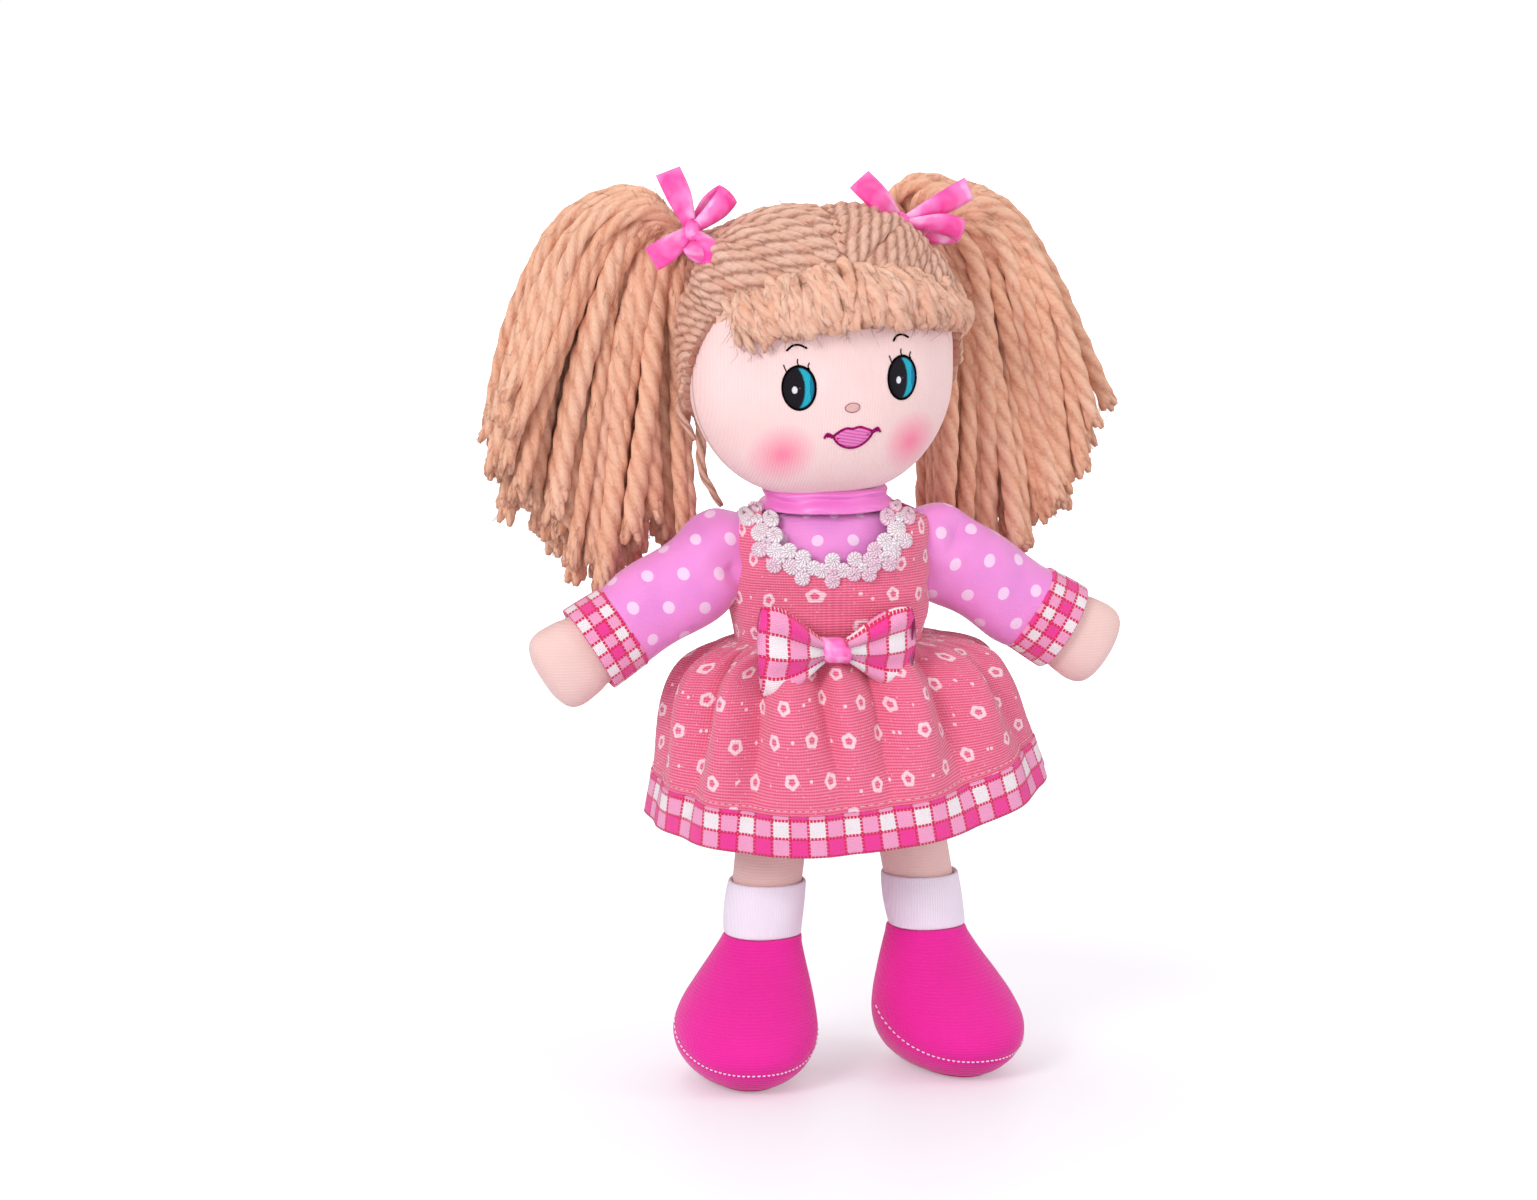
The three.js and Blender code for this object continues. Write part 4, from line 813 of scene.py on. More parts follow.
# Pigtails: cut ends of the same yarn beyond the band. They spring up over a crest and hang behind the
# arm in a broad fan. Each end is blunt and opens into its three plies; the whole swings at the band.
PIGTAIL_YARN = 3.9
PIGTAIL_LAYERS, PIGTAIL_ROWS = 4, 14
FAN = {
    -1: [
        [(50, 326), (54, 303), (52, 258), (46, 207)],
        [(56, 333), (67, 308), (74, 262), (79, 196)],
        [(62, 338), (79, 318), (91, 275), (100, 204)],
        [(67, 343), (88, 328), (105, 288), (119, 226)],
        [(71, 345), (96, 334), (115, 298), (129, 252)],
    ],
    1: [
        [(50, 326), (55, 303), (53, 258), (49, 205)],
        [(56, 332), (66, 308), (72, 264), (76, 203)],
        [(61, 337), (76, 318), (86, 278), (97, 208)],
        [(65, 341), (83, 325), (98, 290), (112, 222)],
        [(68, 343), (90, 328), (108, 297), (120, 240)],
    ],
}
CREST_STRANDS = [
    [
        (44, 30, 328), (37, 28, 334), (34, 28, 340), (41, 30, 344.5),
        (58, 32, 342), (77, 34, 326), (88, 36, 300),
    ],
    [(46, 34, 328), (40, 34, 336), (40, 35, 343), (49, 36, 347), (66, 38, 341), (86, 40, 321), (97, 42, 292)],
    [(44, 26, 328), (42, 24, 335), (44, 24, 340), (52, 26, 342), (66, 29, 336), (80, 32, 314), (88, 33, 284)],
    [
        (45, 31, 327), (43, 31, 333), (42, 31, 338), (44, 32, 342.5),
        (54, 34, 343), (69, 36, 334), (85, 38, 312), (92, 39, 286),
    ],
]
LONE_STRAND = [(49, 36, 327), (66, 36, 341), (86, 38, 333), (104, 40, 307), (117, 40, 280), (128.5, 38, 254)]


def pigtail_way(side, share, layer, nudge, longer=0.0):
    """One strand: share runs from the head to the outer edge, layer from the front to the back."""
    fan = np.array(FAN[side], float)
    place = share * (len(fan) - 1)
    low = min(int(place), len(fan) - 2)
    knots = fan[low] * (1 - place + low) + fan[low + 1] * (place - low)
    y = np.array([33 + 10 * (layer - 0.5), 25 + 29 * layer, 23.5 + 33 * layer, 24 + 32 * layer])
    drop = np.array([9.0, 5.0, 0, 0]) * (1 - layer) * (0.35 + 0.65 * (1 - share))
    rise = knots[:, 1] - drop
    rise[3] += 8 * nudge[0] - longer
    out = knots[:, 0] + np.array([0, 1.5, 3.0, 4.4]) * nudge[1]
    out = np.minimum(out - 5 * ((1 - layer) * share) * np.array([0, 0.5, 1, 1]), 128.0)
    start = TIE * (side, 1, 1) + np.array([side * 2.0, (layer - 0.5) * 7, -2 + 3 * share])
    points = np.stack([side * out, y + nudge[2] * 2.5, rise], axis=1)
    at = np.linspace(0, len(points), 60)
    way = curve([start, *points], 60)
    way[:, 0] += side * 1.6 * np.sin(at * 2.1 + nudge[1] * 7) * ease(at / 2)
    way[:, 1] += 1.8 * np.sin(at * 2.6 + nudge[0] * 9) * ease(at / 2)
    offset = way - HEAD_CENTRE
    clear = head_skin(offset, 8.0)
    inner = np.linalg.norm(offset, axis=1) < np.linalg.norm(clear - HEAD_CENTRE, axis=1)
    keep = (inner & (at > 0.7))[:, None]
    return np.where(keep, clear, way)


def open_end(way, size):
    """The three plies at a cut end, each a little apart from the others."""
    tail = way[-5:]
    reach = np.linalg.norm(tail[-1] - tail[0])
    step = (tail[-1] - tail[0]) / reach
    side = unit(np.cross(step, [0.2, 1.0, 0.1]))
    other = np.cross(step, side)
    begin = chance.uniform(0, 6.28)
    plies = []
    for turn in (0, 2.09, 4.19):
        out = math.cos(begin + turn) * side + math.sin(begin + turn) * other
        beyond = chance.uniform(1.0, 4.0)
        t = np.linspace(0, 1, 7)[:, None]
        plies.append(tail[0] + step * (reach + beyond) * t + out * size * (0.42 + 0.5 * t * t))
    return plies


def springing(t):
    """The yarns are pressed thinner where they leave the band."""
    return 0.74 + 0.26 * ease(t / 0.2)


for side, name in SIDES:
    ways, sizes = [], []
    for k in range(PIGTAIL_ROWS * PIGTAIL_LAYERS):
        layer = (k % PIGTAIL_LAYERS) / (PIGTAIL_LAYERS - 1)
        share = ((k // PIGTAIL_LAYERS) + (0, 0.5, 0.2, 0.7)[k % PIGTAIL_LAYERS]) / PIGTAIL_ROWS
        shorter = -14 * max(chance.standard_normal(), 0) * (1 - layer)
        ways.append(pigtail_way(side, share, layer, chance.uniform(-1, 1, 3), shorter))
        sizes.append(PIGTAIL_YARN * chance.uniform(0.75, 1.1))
    if side > 0:
        ways += [curve(strand, 60) for strand in (*CREST_STRANDS, LONE_STRAND)]
        sizes += [PIGTAIL_YARN * 0.9] * (len(CREST_STRANDS) + 1)
    yarns = len(ways)
    for k in range(yarns):
        ways += open_end(ways[k], sizes[k])
        sizes += [sizes[k] * 0.56] * 3
    tail = strands(
        name + "_pigtail_yarn", ways, sizes, yarn, sides=12, tip=0.5, swell=springing, pitch=YARN_PITCH
    )
    loose = fuzz(name + "_pigtail_fuzz", ways[:yarns], sizes[:yarns], 4.5, 7.0)
    ends = fuzz(name + "_pigtail_end_fuzz", ways[yarns:], sizes[yarns:], 1.0, 4.5)
    sewn(tail, name + "_pigtail", name + "_pigtail")
    sewn(loose, name + "_pigtail")
    sewn(ends, name + "_pigtail")

# Hair bows: one length of glossy satin ribbon tied round each band, with its cut ends left long. The right
# one has two tails and two loops; the left one is turned so that two tails and one loop show.
ribbon_paint = Paint(
    "ribbon satin", roughness=0.26, Sheen_Weight=0.3, Sheen_Roughness=0.3, Specular_IOR_Level=0.9
)
ru, rv, _ = ribbon_paint.axes("UV")
warp = rv.wave(0.0005)
soft = ribbon_paint.noise(ribbon_paint.vector(ru, rv), 75.0)
# Painted sheen: random patches of painted highlight and painted shade, and pale painted highlights where the
# noise is low.
painted_satin_sheen = ribbon_paint.mix(soft.over(0.5, 0.25), tint(255, 132, 212), tint(248, 44, 160))
painted_satin_sheen = ribbon_paint.mix(soft.over(0.4, -0.1) * 0.55, painted_satin_sheen, tint(255, 206, 240))
ribbon_paint.wear(painted_satin_sheen, warp + soft * 2, 0.00006)
RIBBON, RIBBON_LANES = 10.0, np.linspace(-1, 1, 7)


def cloth_sheet(made, nodes, flat, body=None, thickness=0.8):
    """Gives a piece of cloth its thickness, hides the solids that it stands for and moves it with its body.
    """
    area = sum(polygon.area for polygon in made.data.polygons)
    if thickness:
        wall = made.modifiers.new("thickness", "SOLIDIFY")
        wall.thickness = thickness * MM
        wall.offset = 0
    else:
        area /= 2
    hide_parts(*nodes)
    area = min(area, flat[0] * flat[1])
    if body:
        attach(made, body)
    return made


def ribbon(name, ways, body, node):
    """Flat ribbons: each way is a list of places, directions of the ribbon's width, and sizes."""
    points, faces, corners, cut = [], [], [], 0.0
    for way in ways:
        path = curve([[*place, *width, size] for place, width, size in way], 9 * (len(way) - 1) + 1)
        middle, across, half = path[:, :3], unit(path[:, 3:6]), path[:, 6] * RIBBON / 2
        normal = unit(np.cross(np.gradient(middle, axis=0), across))
        length = summed(gaps(middle, 0))
        cut += length[-1]
        wide = half[:, None] * RIBBON_LANES
        cup = ((1 - RIBBON_LANES**2) * 0.9)[:, None]
        cloth = np.stack([np.broadcast_to(length[:, None], wide.shape), wide], axis=2) * MM
        more_faces, more_corners = grid(cloth, len(RIBBON_LANES), len(points))
        faces += more_faces
        corners += more_corners
        strip = middle[:, None] + across[:, None] * wide[..., None] + normal[:, None] * cup
        points += strip.reshape(-1, 3).tolist()
    made = piece(name, points, faces, corners, ribbon_paint, closed=False)
    flat = (cut * MM, RIBBON * MM)
    cloth_sheet(made, [node], flat, body, 0.5)


def bow(name, node, knot, parts):
    """Tails and loops from the knot. A tail is one strip, a loop goes out and comes back below itself."""
    knot = np.array(knot, float)
    ways = []
    for kind, (dx, dy, dz), width in parts:
        end = knot + np.array([dx, dy, dz], float)
        width = np.array(width, float)
        side = np.array([0.0, -1.0, 0.0])
        if kind == "tail":
            middle = knot * 0.45 + end * 0.55 + side * 2.5
            ways.append([(knot, width, 0.4), (middle, width, 0.95), (end, width, 1.0)])
        else:
            lift = np.array(kind, float)
            out = knot * 0.4 + end * 0.6
            ways.append([
                (knot + side, width, 0.4), (out + lift, width, 0.9), (end, width, 1.0),
                (out - lift, width, 0.95), (knot - side * 0.5, width, 0.4),
            ])
    t = turns_round(20)
    rows = []
    for lift in np.linspace(-1, 1, 9):
        r = math.sqrt(max(1 - lift * lift, 0.02))
        ring = [3.2 * r * np.cos(t), 3.4 * r * np.sin(t) - 1.6, 4.4 * lift + 0.35 * np.sin(6 * t)]
        rows.append(knot + np.stack(ring, axis=1))
    tied = skin(name + "_knot", rows, ribbon_paint)
    sewn(tied, "head")
    ribbon(name, ways, "head", node)


bow("right_bow", "right_hair_bow", (-52.5, 11, 333.0), [
    ("tail", (-10, -2, 23.5), (0.9, -0.2, 0.35)),
    ("tail", (-17.5, -6, -10.5), (-0.5, 0.2, 0.85)),
    ((0.5, -2.6, -0.5), (14, -3, 14), (-0.72, -0.15, 0.68)),
    ((3.0, -2.6, 0.6), (5, -16, -11), (0.95, -0.25, 0.1)),
])
bow("left_bow", "left_hair_bow", (30.0, 3, 334.0), [
    ("tail", (-17.5, -2, 18), (0.7, -0.25, 0.68)),
    ("tail", (28.5, 2, 12.8), (-0.42, -0.2, 0.9)),
    ((0.4, -2.8, 2.2), (24, -3, -3.5), (0.15, -0.45, 0.9)),
])

# Torso: a stuffed bag of knit with a hole at the back for the voice box, which a pad of hook-and-loop
# tape closes. The dress hides it, so only its underside shows.
TORSO_ROWS = [
    [154.6, 0, 0, 26.4, 13.2], [159.5, 0, 0, 31, 20.4], [171, 0, 0, 32.5, 23], [196, 0, 0, 33.5, 24],
    [212, 0, 0, 32.5, 20.6], [221, 0, 0, 26.2, 17.3], [223.9, 0, 0, 18.9, 14.4],
]
BODY_TURN = math.radians(-9)


def spun(points, angle):
    """Points turned about the doll's upright axis."""
    c, s = math.cos(angle), math.sin(angle)
    return np.asarray(points, float) @ np.array([[c, s, 0], [-s, c, 0], [0, 0, 1]])


def turned(points):
    """The dress sits turned a little towards the doll's right."""
    return spun(points, BODY_TURN)


def torso_ring(z, grow, turns):
    """Points round the torso at a height, grown by so much; turn 0 is the front, and it grows leftwards."""
    rows = np.array(TORSO_ROWS)
    at = np.interp(z, rows[:, 0], np.arange(len(rows)))
    half, depth = smooth_values(rows[:, 3], at) + grow, smooth_values(rows[:, 4], at) + grow
    x, y = half * power(np.sin(turns), 2 / 2.3), -depth * power(np.cos(turns), 2 / 2.3)
    return np.stack([x, y, np.full(len(turns), z)], axis=1)


torso_knit = knit("torso knit", tint(240, 208, 202))
full_turn = turns_round(80)
torso_rings = [turned(torso_ring(z, -0.2, full_turn)) for z in np.linspace(154.6, 223.9, 30)]
stuffed("torso_pad", "torso", torso_rings, torso_knit, "doll_body")
tape_paint = Paint("closure tape", roughness=0.95, Sheen_Weight=0.4)
hooks = tape_paint.noise(tape_paint.vector(*tape_paint.axes("Object")), 1400.0, 1.0)
tape_paint.wear(tape_paint.mix(hooks, tint(232, 228, 220), tint(250, 248, 244)), hooks, 0.0006)
TAPE_RADIUS, TAPE_Z = 20, 188
pad_rings = []
for share, y in ((0.2, 19.3), (0.9, 19.4), (1, 20), (1, 21.6), (0.95, 22.4), (0.5, 23.2), (0.05, 23.4)):
    t, radius = turns_round(40), TAPE_RADIUS * share
    pad_rings.append(np.stack([radius * np.cos(t), np.full(40, y), TAPE_Z + radius * np.sin(t)], axis=1))
stuffed("closure_pad", "back_closure", pad_rings, tape_paint, "doll_body")

# Blouse: orchid satin with white dots. The body goes under the dress and shows in its neckline; the high
# neck is a folded band; the sleeves are full at the top and end in a turned-up cuff of gingham.
blouse_paint = Paint("dotted satin", roughness=0.38, Sheen_Weight=0.5, Sheen_Roughness=0.35)
bu, bv, _ = blouse_paint.axes("UV")
DOT_STEP, DOT_ROW, DOT_RADIUS = 14.0, 12.0, 2.3
row, dot_z = (bv / (DOT_ROW * MM)).cell()
_, dot_x = (bu / (DOT_STEP * MM) + row * 0.5).cell()
dots = (dot_x * (DOT_STEP * MM)).far(dot_z * (DOT_ROW * MM)).over(DOT_RADIUS * MM, -0.0002)
cloud = blouse_paint.noise(blouse_paint.vector(bu, bv), 55.0)
# Painted shading: random clouds of a darker, more violet satin colour; the white dots over it are print.
satin_colour = blouse_paint.mix(cloud.over(0.5, 0.5) * 0.6, tint(246, 146, 220), tint(216, 124, 208))
satin_colour = blouse_paint.mix(dots * 0.7, satin_colour, tint(250, 228, 248))
blouse_paint.wear(satin_colour, bu.sine(0.0006) + bv.sine(0.0006) + cloud * 3, 0.00004)
plain_satin = Paint("plain satin", roughness=0.35, Sheen_Weight=0.5, Sheen_Roughness=0.35)
pu, pv, _ = plain_satin.axes("UV")
pleat = plain_satin.noise(plain_satin.vector(pu, pv * 6), 60.0)
# Painted shade in streaks along the pleats.
plain_satin.wear(plain_satin.mix(pleat, tint(240, 128, 206), tint(216, 106, 190)), pleat, 0.0004)

blouse_rings = [turned(torso_ring(z, 1.0, full_turn + math.pi)) for z in np.linspace(171.5, 223.6, 26)]
blouse = skin("blouse_cloth", blouse_rings, blouse_paint, capped=False)
blouse_cut, collar_cut = (0.205, 0.056), (0.15, 0.026)
cloth_sheet(blouse, ["blouse_body"], blouse_cut, "doll_body", 0.6)


def collar_ring(half, depth, z):
    """A ring round the neck, from the front."""
    x, y = half * np.sin(full_turn) - 1.0, -depth * np.cos(full_turn)
    return turned(np.stack([x, y, np.broadcast_to(z, x.shape)], axis=1))


collar_rings = []
for share in np.linspace(0, 1, 26):
    fold = 0.9 * math.sin(share * 10 - 0.6) * (0.4 + 0.6 * share) - 0.8 * ease((share - 0.8) / 0.2)
    soft = 0.35 * np.sin(7 * full_turn + 9 * share)
    droop = 0.8 * np.sin(2 * full_turn + 0.6) + 0.4 * np.sin(5 * full_turn + 3 * share)
    reach = 3.4 * (1 - share) ** 2 + fold + soft
    z = 223.6 + 8.2 * share + droop * math.sin(math.pi * share) * 0.7
    collar_rings.append(collar_ring(23.6 + reach, 19.2 + reach, z))
for share in np.linspace(0, 1, 6)[1:]:
    collar_rings.append(collar_ring(22.2 - 1.8 * share, 17.8 - 1.8 * share, 232.0 - 7.0 * share))
collar = skin("collar_band", collar_rings, plain_satin, capped=False)
cloth_sheet(collar, ["collar"], collar_cut, "doll_body", 0.7)

ARM_DROP = math.radians(32)
SHOULDER = np.array([34.2, 0.0, 210.0])


def arm_frame(side):
    """The direction of an arm, the way up across it, and the way to the front."""
    along = np.array([side * math.cos(ARM_DROP), 0, -math.sin(ARM_DROP)])
    up = np.array([side * math.sin(ARM_DROP), 0, math.cos(ARM_DROP)])
    return along, up, np.array([0, -1.0, 0])


def arm_rings(side, rows, count, sides, squareness=2.1, crease=None, back=0.0):
    """Rings along the arm; each row is the place from the shoulder seam, half height and half depth."""
    along, up, forward = arm_frame(side)
    turns = turns_round(sides)
    u, v = power(np.sin(turns), 2 / squareness), power(np.cos(turns), 2 / squareness)
    rings = []
    for place, height, depth in curve(rows, count):
        push = crease(place, turns) if crease else 0
        middle = SHOULDER * (side, 1, 1) + along * place - forward * back * (1 - ease((place + 6) / 32))
        rings.append(middle + np.outer((height + push) * u, up) + np.outer((depth + push) * v, forward))
    return np.roll(rings, sides // 4, axis=1)


GINGHAM_DEEP, GINGHAM_MID, GINGHAM_WHITE = tint(252, 52, 158), tint(255, 150, 204), tint(255, 243, 249)


def gingham_paint(name, bar):
    """Woven checks: bars of pink and white cross, with a dotted crimson thread along each bar."""
    paint = Paint(name, roughness=0.85, Sheen_Weight=0.25)
    u, v, _ = paint.axes("UV")
    lanes = [(way / (2 * bar * MM)).cell()[1].maths("ABSOLUTE") for way in (u, v)]
    across, down = (lane.over(0.25, 0.006) for lane in lanes)
    share = (across + down) * 0.5
    twill = (u + v).sine(0.00085).over(0.0, 0.8)
    mid = paint.mix(twill * 0.55, GINGHAM_MID, tint(255, 200, 224))
    colour = paint.mix(share.over(0.25, 0.05), GINGHAM_WHITE, mid)
    colour = paint.mix(share.over(0.75, 0.05), colour, GINGHAM_DEEP)
    lines = []
    for lane, other in zip(lanes, (v, u)):
        edge = (lane - 0.25).maths("ABSOLUTE").over(0.00055 / (2 * bar * MM), -0.012)
        lines.append(edge * other.sine(0.0014).over(-0.75, 0.5))
    colour = paint.mix(lines[0].maths("MAXIMUM", lines[1]), colour, tint(226, 8, 84))
    return paint.wear(colour, u.sine(0.0006) + v.sine(0.0006) + twill, 0.00008)


HEM_CHECK = 7.2
cuff_gingham = gingham_paint("cuff gingham", 5.2)
hem_gingham = gingham_paint("hem gingham", HEM_CHECK)
bow_gingham = gingham_paint("bow gingham", 7.6)


def sleeve_crease(side):
    """Creases that run from the armhole and gather under the arm."""
    def crease(place, turns):
        near = math.exp(-((place - 9) / 9) ** 2)
        under = np.exp(-((turns - 4.712) ** 2) / 0.5)
        front = np.exp(-((turns - (0.55 if side > 0 else 6.0)) ** 2) / 0.25)
        folds = 0.9 * near * np.sin(5 * turns + 1.3 * side)
        folds -= 3.0 * under * math.exp(-(((place - 9) / 6) ** 2))
        fold = -2.2 * front * math.exp(-(((place - 12) / 3.2) ** 2))
        fold += front * math.exp(-(((place - 18) / 4) ** 2))
        diagonal = 0.85 * np.sin(place * 0.16 + 2.2 * np.sin(turns + 0.7 * side) + side)
        return folds + fold + diagonal * ease((place - 6) / 14)
    return crease


SLEEVE_BACK = {"left": -2.5, "right": 5.0}
SLEEVE_CUT, CUFF_CUT = (0.105, 0.062), (0.105, 0.030)
HAND_ROWS = [
    [0.5, 2, 3], [6, 4, 5], [14, 9, 8.5], [26, 14, 10.6], [48, 14.8, 11], [72, 15, 11], [80, 16.4, 11.4],
    [88, 16.9, 11.2], [93, 14.6, 9.4], [95.6, 8.5, 5.4], [96, 3, 2],
]
SLEEVE_ROWS = [
    [-9, 5, 5], [-4, 11, 9.5], [1, 15.8, 12.0], [6, 17.6, 13.4], [16, 18.2, 14.2], [34, 17.4, 13.4],
    [50, 17.4, 13.2], [58, 17.0, 13.0],
]
CUFF_ROWS = [
    [57, 16.0, 12.2], [58, 17.5, 13.6], [60, 17.6, 13.7], [72.6, 18.2, 14.2], [73.6, 17.9, 13.9],
    [73.2, 16.9, 12.9], [66, 15.9, 12],
]
for side, name in SIDES:
    arm = name + "_arm"
    stuffed(arm + "_pad", arm, arm_rings(side, HAND_ROWS, 60, 56, 2.25), limb_knit, arm)
    sleeve_rings = arm_rings(side, SLEEVE_ROWS, 44, 72, 2.15, sleeve_crease(side), SLEEVE_BACK[name])
    sleeve = skin(name + "_sleeve_cloth", sleeve_rings, blouse_paint, capped=False)
    cloth_sheet(sleeve, [name + "_sleeve"], SLEEVE_CUT, None, 0.7)
    along, base = arm_frame(side)[0], SHOULDER * (side, 1, 1)
    tuple((base - along * 4) * MM)
    tuple((base + along * 20) * MM)
    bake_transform(sleeve)
    cuff = skin(name + "_cuff_cloth", arm_rings(side, CUFF_ROWS, 36, 72, 2.1), cuff_gingham, capped=False)
    cloth_sheet(cuff, [name + "_cuff"], CUFF_CUT, arm, 0.7)

# Dress: coral slub cotton printed with small white flowers and dots. A sleeveless bodice joins a skirt
# that is gathered at the waist; a band of gingham is topstitched round the hem.
BODICE_HEM = 171.2
NECK_X, NECK_HALF, NECK_DEEP = -1.5, 25.0, 20.5
PRINT_STEP, PRINT_ROW = 17.5, 13.2


def dress_paint(name):
    """Slub cotton with rows of small open flowers, each turned and moved a little, and dots between."""
    paint = Paint(name, roughness=0.9, Sheen_Weight=0.35, Sheen_Roughness=0.4)
    u, v, _ = paint.axes("UV")
    slub = paint.noise(paint.vector(u * 30, v * 160), 6.0, 3.0)
    weft = (v * (2 * math.pi / 0.00105) + slub * 1.5).maths("SINE") * 0.5 + 0.5
    warp = u.wave(0.0011)
    ground = paint.mix(weft * 0.75, tint(224, 80, 121), tint(252, 152, 180))
    ground = paint.mix((1 - warp) * 0.25, ground, tint(212, 62, 108))
    ground = paint.mix(slub.over(0.66, 0.2) * 0.12, ground, tint(254, 180, 200))
    fleck = paint.noise(paint.vector(u, v), 1100.0, 1.0)
    ground = paint.mix(fleck.over(0.72, 0.03) * 0.7, ground, tint(255, 222, 228))
    line, y = (v / (PRINT_ROW * MM)).cell()
    cell, x = (u / (PRINT_STEP * MM) + line * 0.5).cell()
    spots = [paint.chance(paint.vector(cell + k * 7.0, line + k * 3.0)) for k in range(3)]
    x = x * (PRINT_STEP * MM) + (spots[0] - 0.5) * 0.006
    y = y * (PRINT_ROW * MM) + (spots[1] - 0.5) * 0.0045
    away = x.far(y)
    petals = (y.maths("ARCTAN2", x) * 5 + spots[2] * 6.28).maths("COSINE") * 0.00022
    flower = (away - petals).over(0.0027, -0.0004) * (away - petals * 0.5).over(0.0013, 0.0004)
    dot_y = y + (spots[0] - 0.5) * 0.003
    dots = []
    for half in (-0.5, 0.5):
        dot_x = x + ((spots[2] - 0.5) * 0.003 + PRINT_STEP * half * MM)
        dots.append(dot_x.far(dot_y).over(0.00065, -0.0002))
    printed = flower.maths("MAXIMUM", dots[0].maths("MAXIMUM", dots[1]))
    colour = paint.mix(printed * (fleck * 0.3 + 0.62), ground, tint(254, 230, 238))
    return paint.wear(colour, weft + warp * 0.6 + slub, 0.00022)


dress = dress_paint("printed slub cotton")
BODICE_HALF, BODICE_DEEP, SHOULDER_TOP = 39.0, 26.8, 225.0
BODICE_SIDES, BODICE_ROWS, BODICE_SQUARENESS = 200, 48, 2.7
bodice_turns = turns_round(BODICE_SIDES) + math.pi


def shoulder_line(turns):
    """The height of the shoulder seam, which falls from the neck to the armhole."""
    x = BODICE_HALF * np.abs(np.sin(turns)) ** (2 / BODICE_SQUARENESS)
    return SHOULDER_TOP - 6.5 * np.clip((x - 22) / 17, 0, 1) ** 1.4


def bodice_point(turns, z, out=0.0):
    """A point of the bodice: straight sides that round over the shoulders to their seam."""
    shoulder = np.clip((z - 205.0) / (shoulder_line(turns) + 0.6 - 205.0), 0, 1)
    depth = BODICE_DEEP * np.sqrt(1 - shoulder**2.4) + 0.6
    depth = depth - 2.0 * np.exp(-(((z - 171) / 6) ** 2))
    half = BODICE_HALF - 2.5 * np.exp(-(((z - 171) / 8) ** 2)) + 0.8 * shoulder
    x = (half + out) * power(np.sin(turns), 2 / BODICE_SQUARENESS)
    y = -(depth + out) * power(np.cos(turns), 2 / BODICE_SQUARENESS)
    return turned(np.stack([x, y, z], axis=-1))


def bodice_edge(turns):
    """The height of the bodice's edge: a deep round neckline in front, a shallow one behind."""
    c = np.cos(turns)
    x = BODICE_HALF * power(np.sin(turns), 2 / BODICE_SQUARENESS)
    away = np.clip(np.abs(x - np.where(c > 0, NECK_X, 0)) / NECK_HALF, 0, 1)
    deep = np.where(c > 0, NECK_DEEP, 8.0)
    return shoulder_line(turns) - deep * (1 - away**2.4) ** (1 / 2.2)


bodice_rings = []
for share in np.linspace(0, 1, BODICE_ROWS):
    z = BODICE_HEM + (bodice_edge(bodice_turns) - BODICE_HEM) * share
    soft = 0.5 * np.sin(z * 0.33 + 2.5 * np.sin(3 * bodice_turns)) * math.sin(math.pi * share)
    bodice_rings.append(bodice_point(bodice_turns, z, soft))
bodice_rings = np.array(bodice_rings)
girth = np.linspace(0, 216, BODICE_SIDES + 1) * MM
heights = looped(bodice_rings[..., 2])
bodice_cloth = np.stack([np.broadcast_to(girth, heights.shape), -heights * MM], axis=2)
bodice = skin("bodice_cloth", bodice_rings, dress, capped=False, cloth=bodice_cloth)
cloth_sheet(bodice, ["bodice"], (0.225, 0.058), "doll_body", 0.9)

SKIRT_TOP, HEM_BAND, SKIRT_SIDES = 171.1, 16.0, 480
SKIRT_PUFF, SKIRT_FLARE, SKIRT_SWING = (31.0, 21.0), (11.5, 10.5), 7.0
FOLD_VALLEYS = [
    (-2.75, 0.14, 5.0), (-2.2, 0.14, 5.5), (-1.65, 0.13, 5.0), (-1.12, 0.13, 7.0), (-0.68, 0.12, 8.5),
    (-0.2, 0.075, 6.5), (0.085, 0.095, 8.0), (0.52, 0.13, 8.5), (0.98, 0.12, 4.0), (1.45, 0.13, 5.0),
    (1.95, 0.14, 5.5), (2.45, 0.14, 5.5), (2.95, 0.13, 5.0),
]


def hem_height(turns):
    """The hem hangs uneven: lower in front and at the doll's right."""
    sway = 6.5 * np.sin(turns) + 2.5 * (1 + np.cos(turns - 0.75))
    return 102.2 - 6 * np.cos(turns) - 4.2 * np.cos(2 * turns) + sway


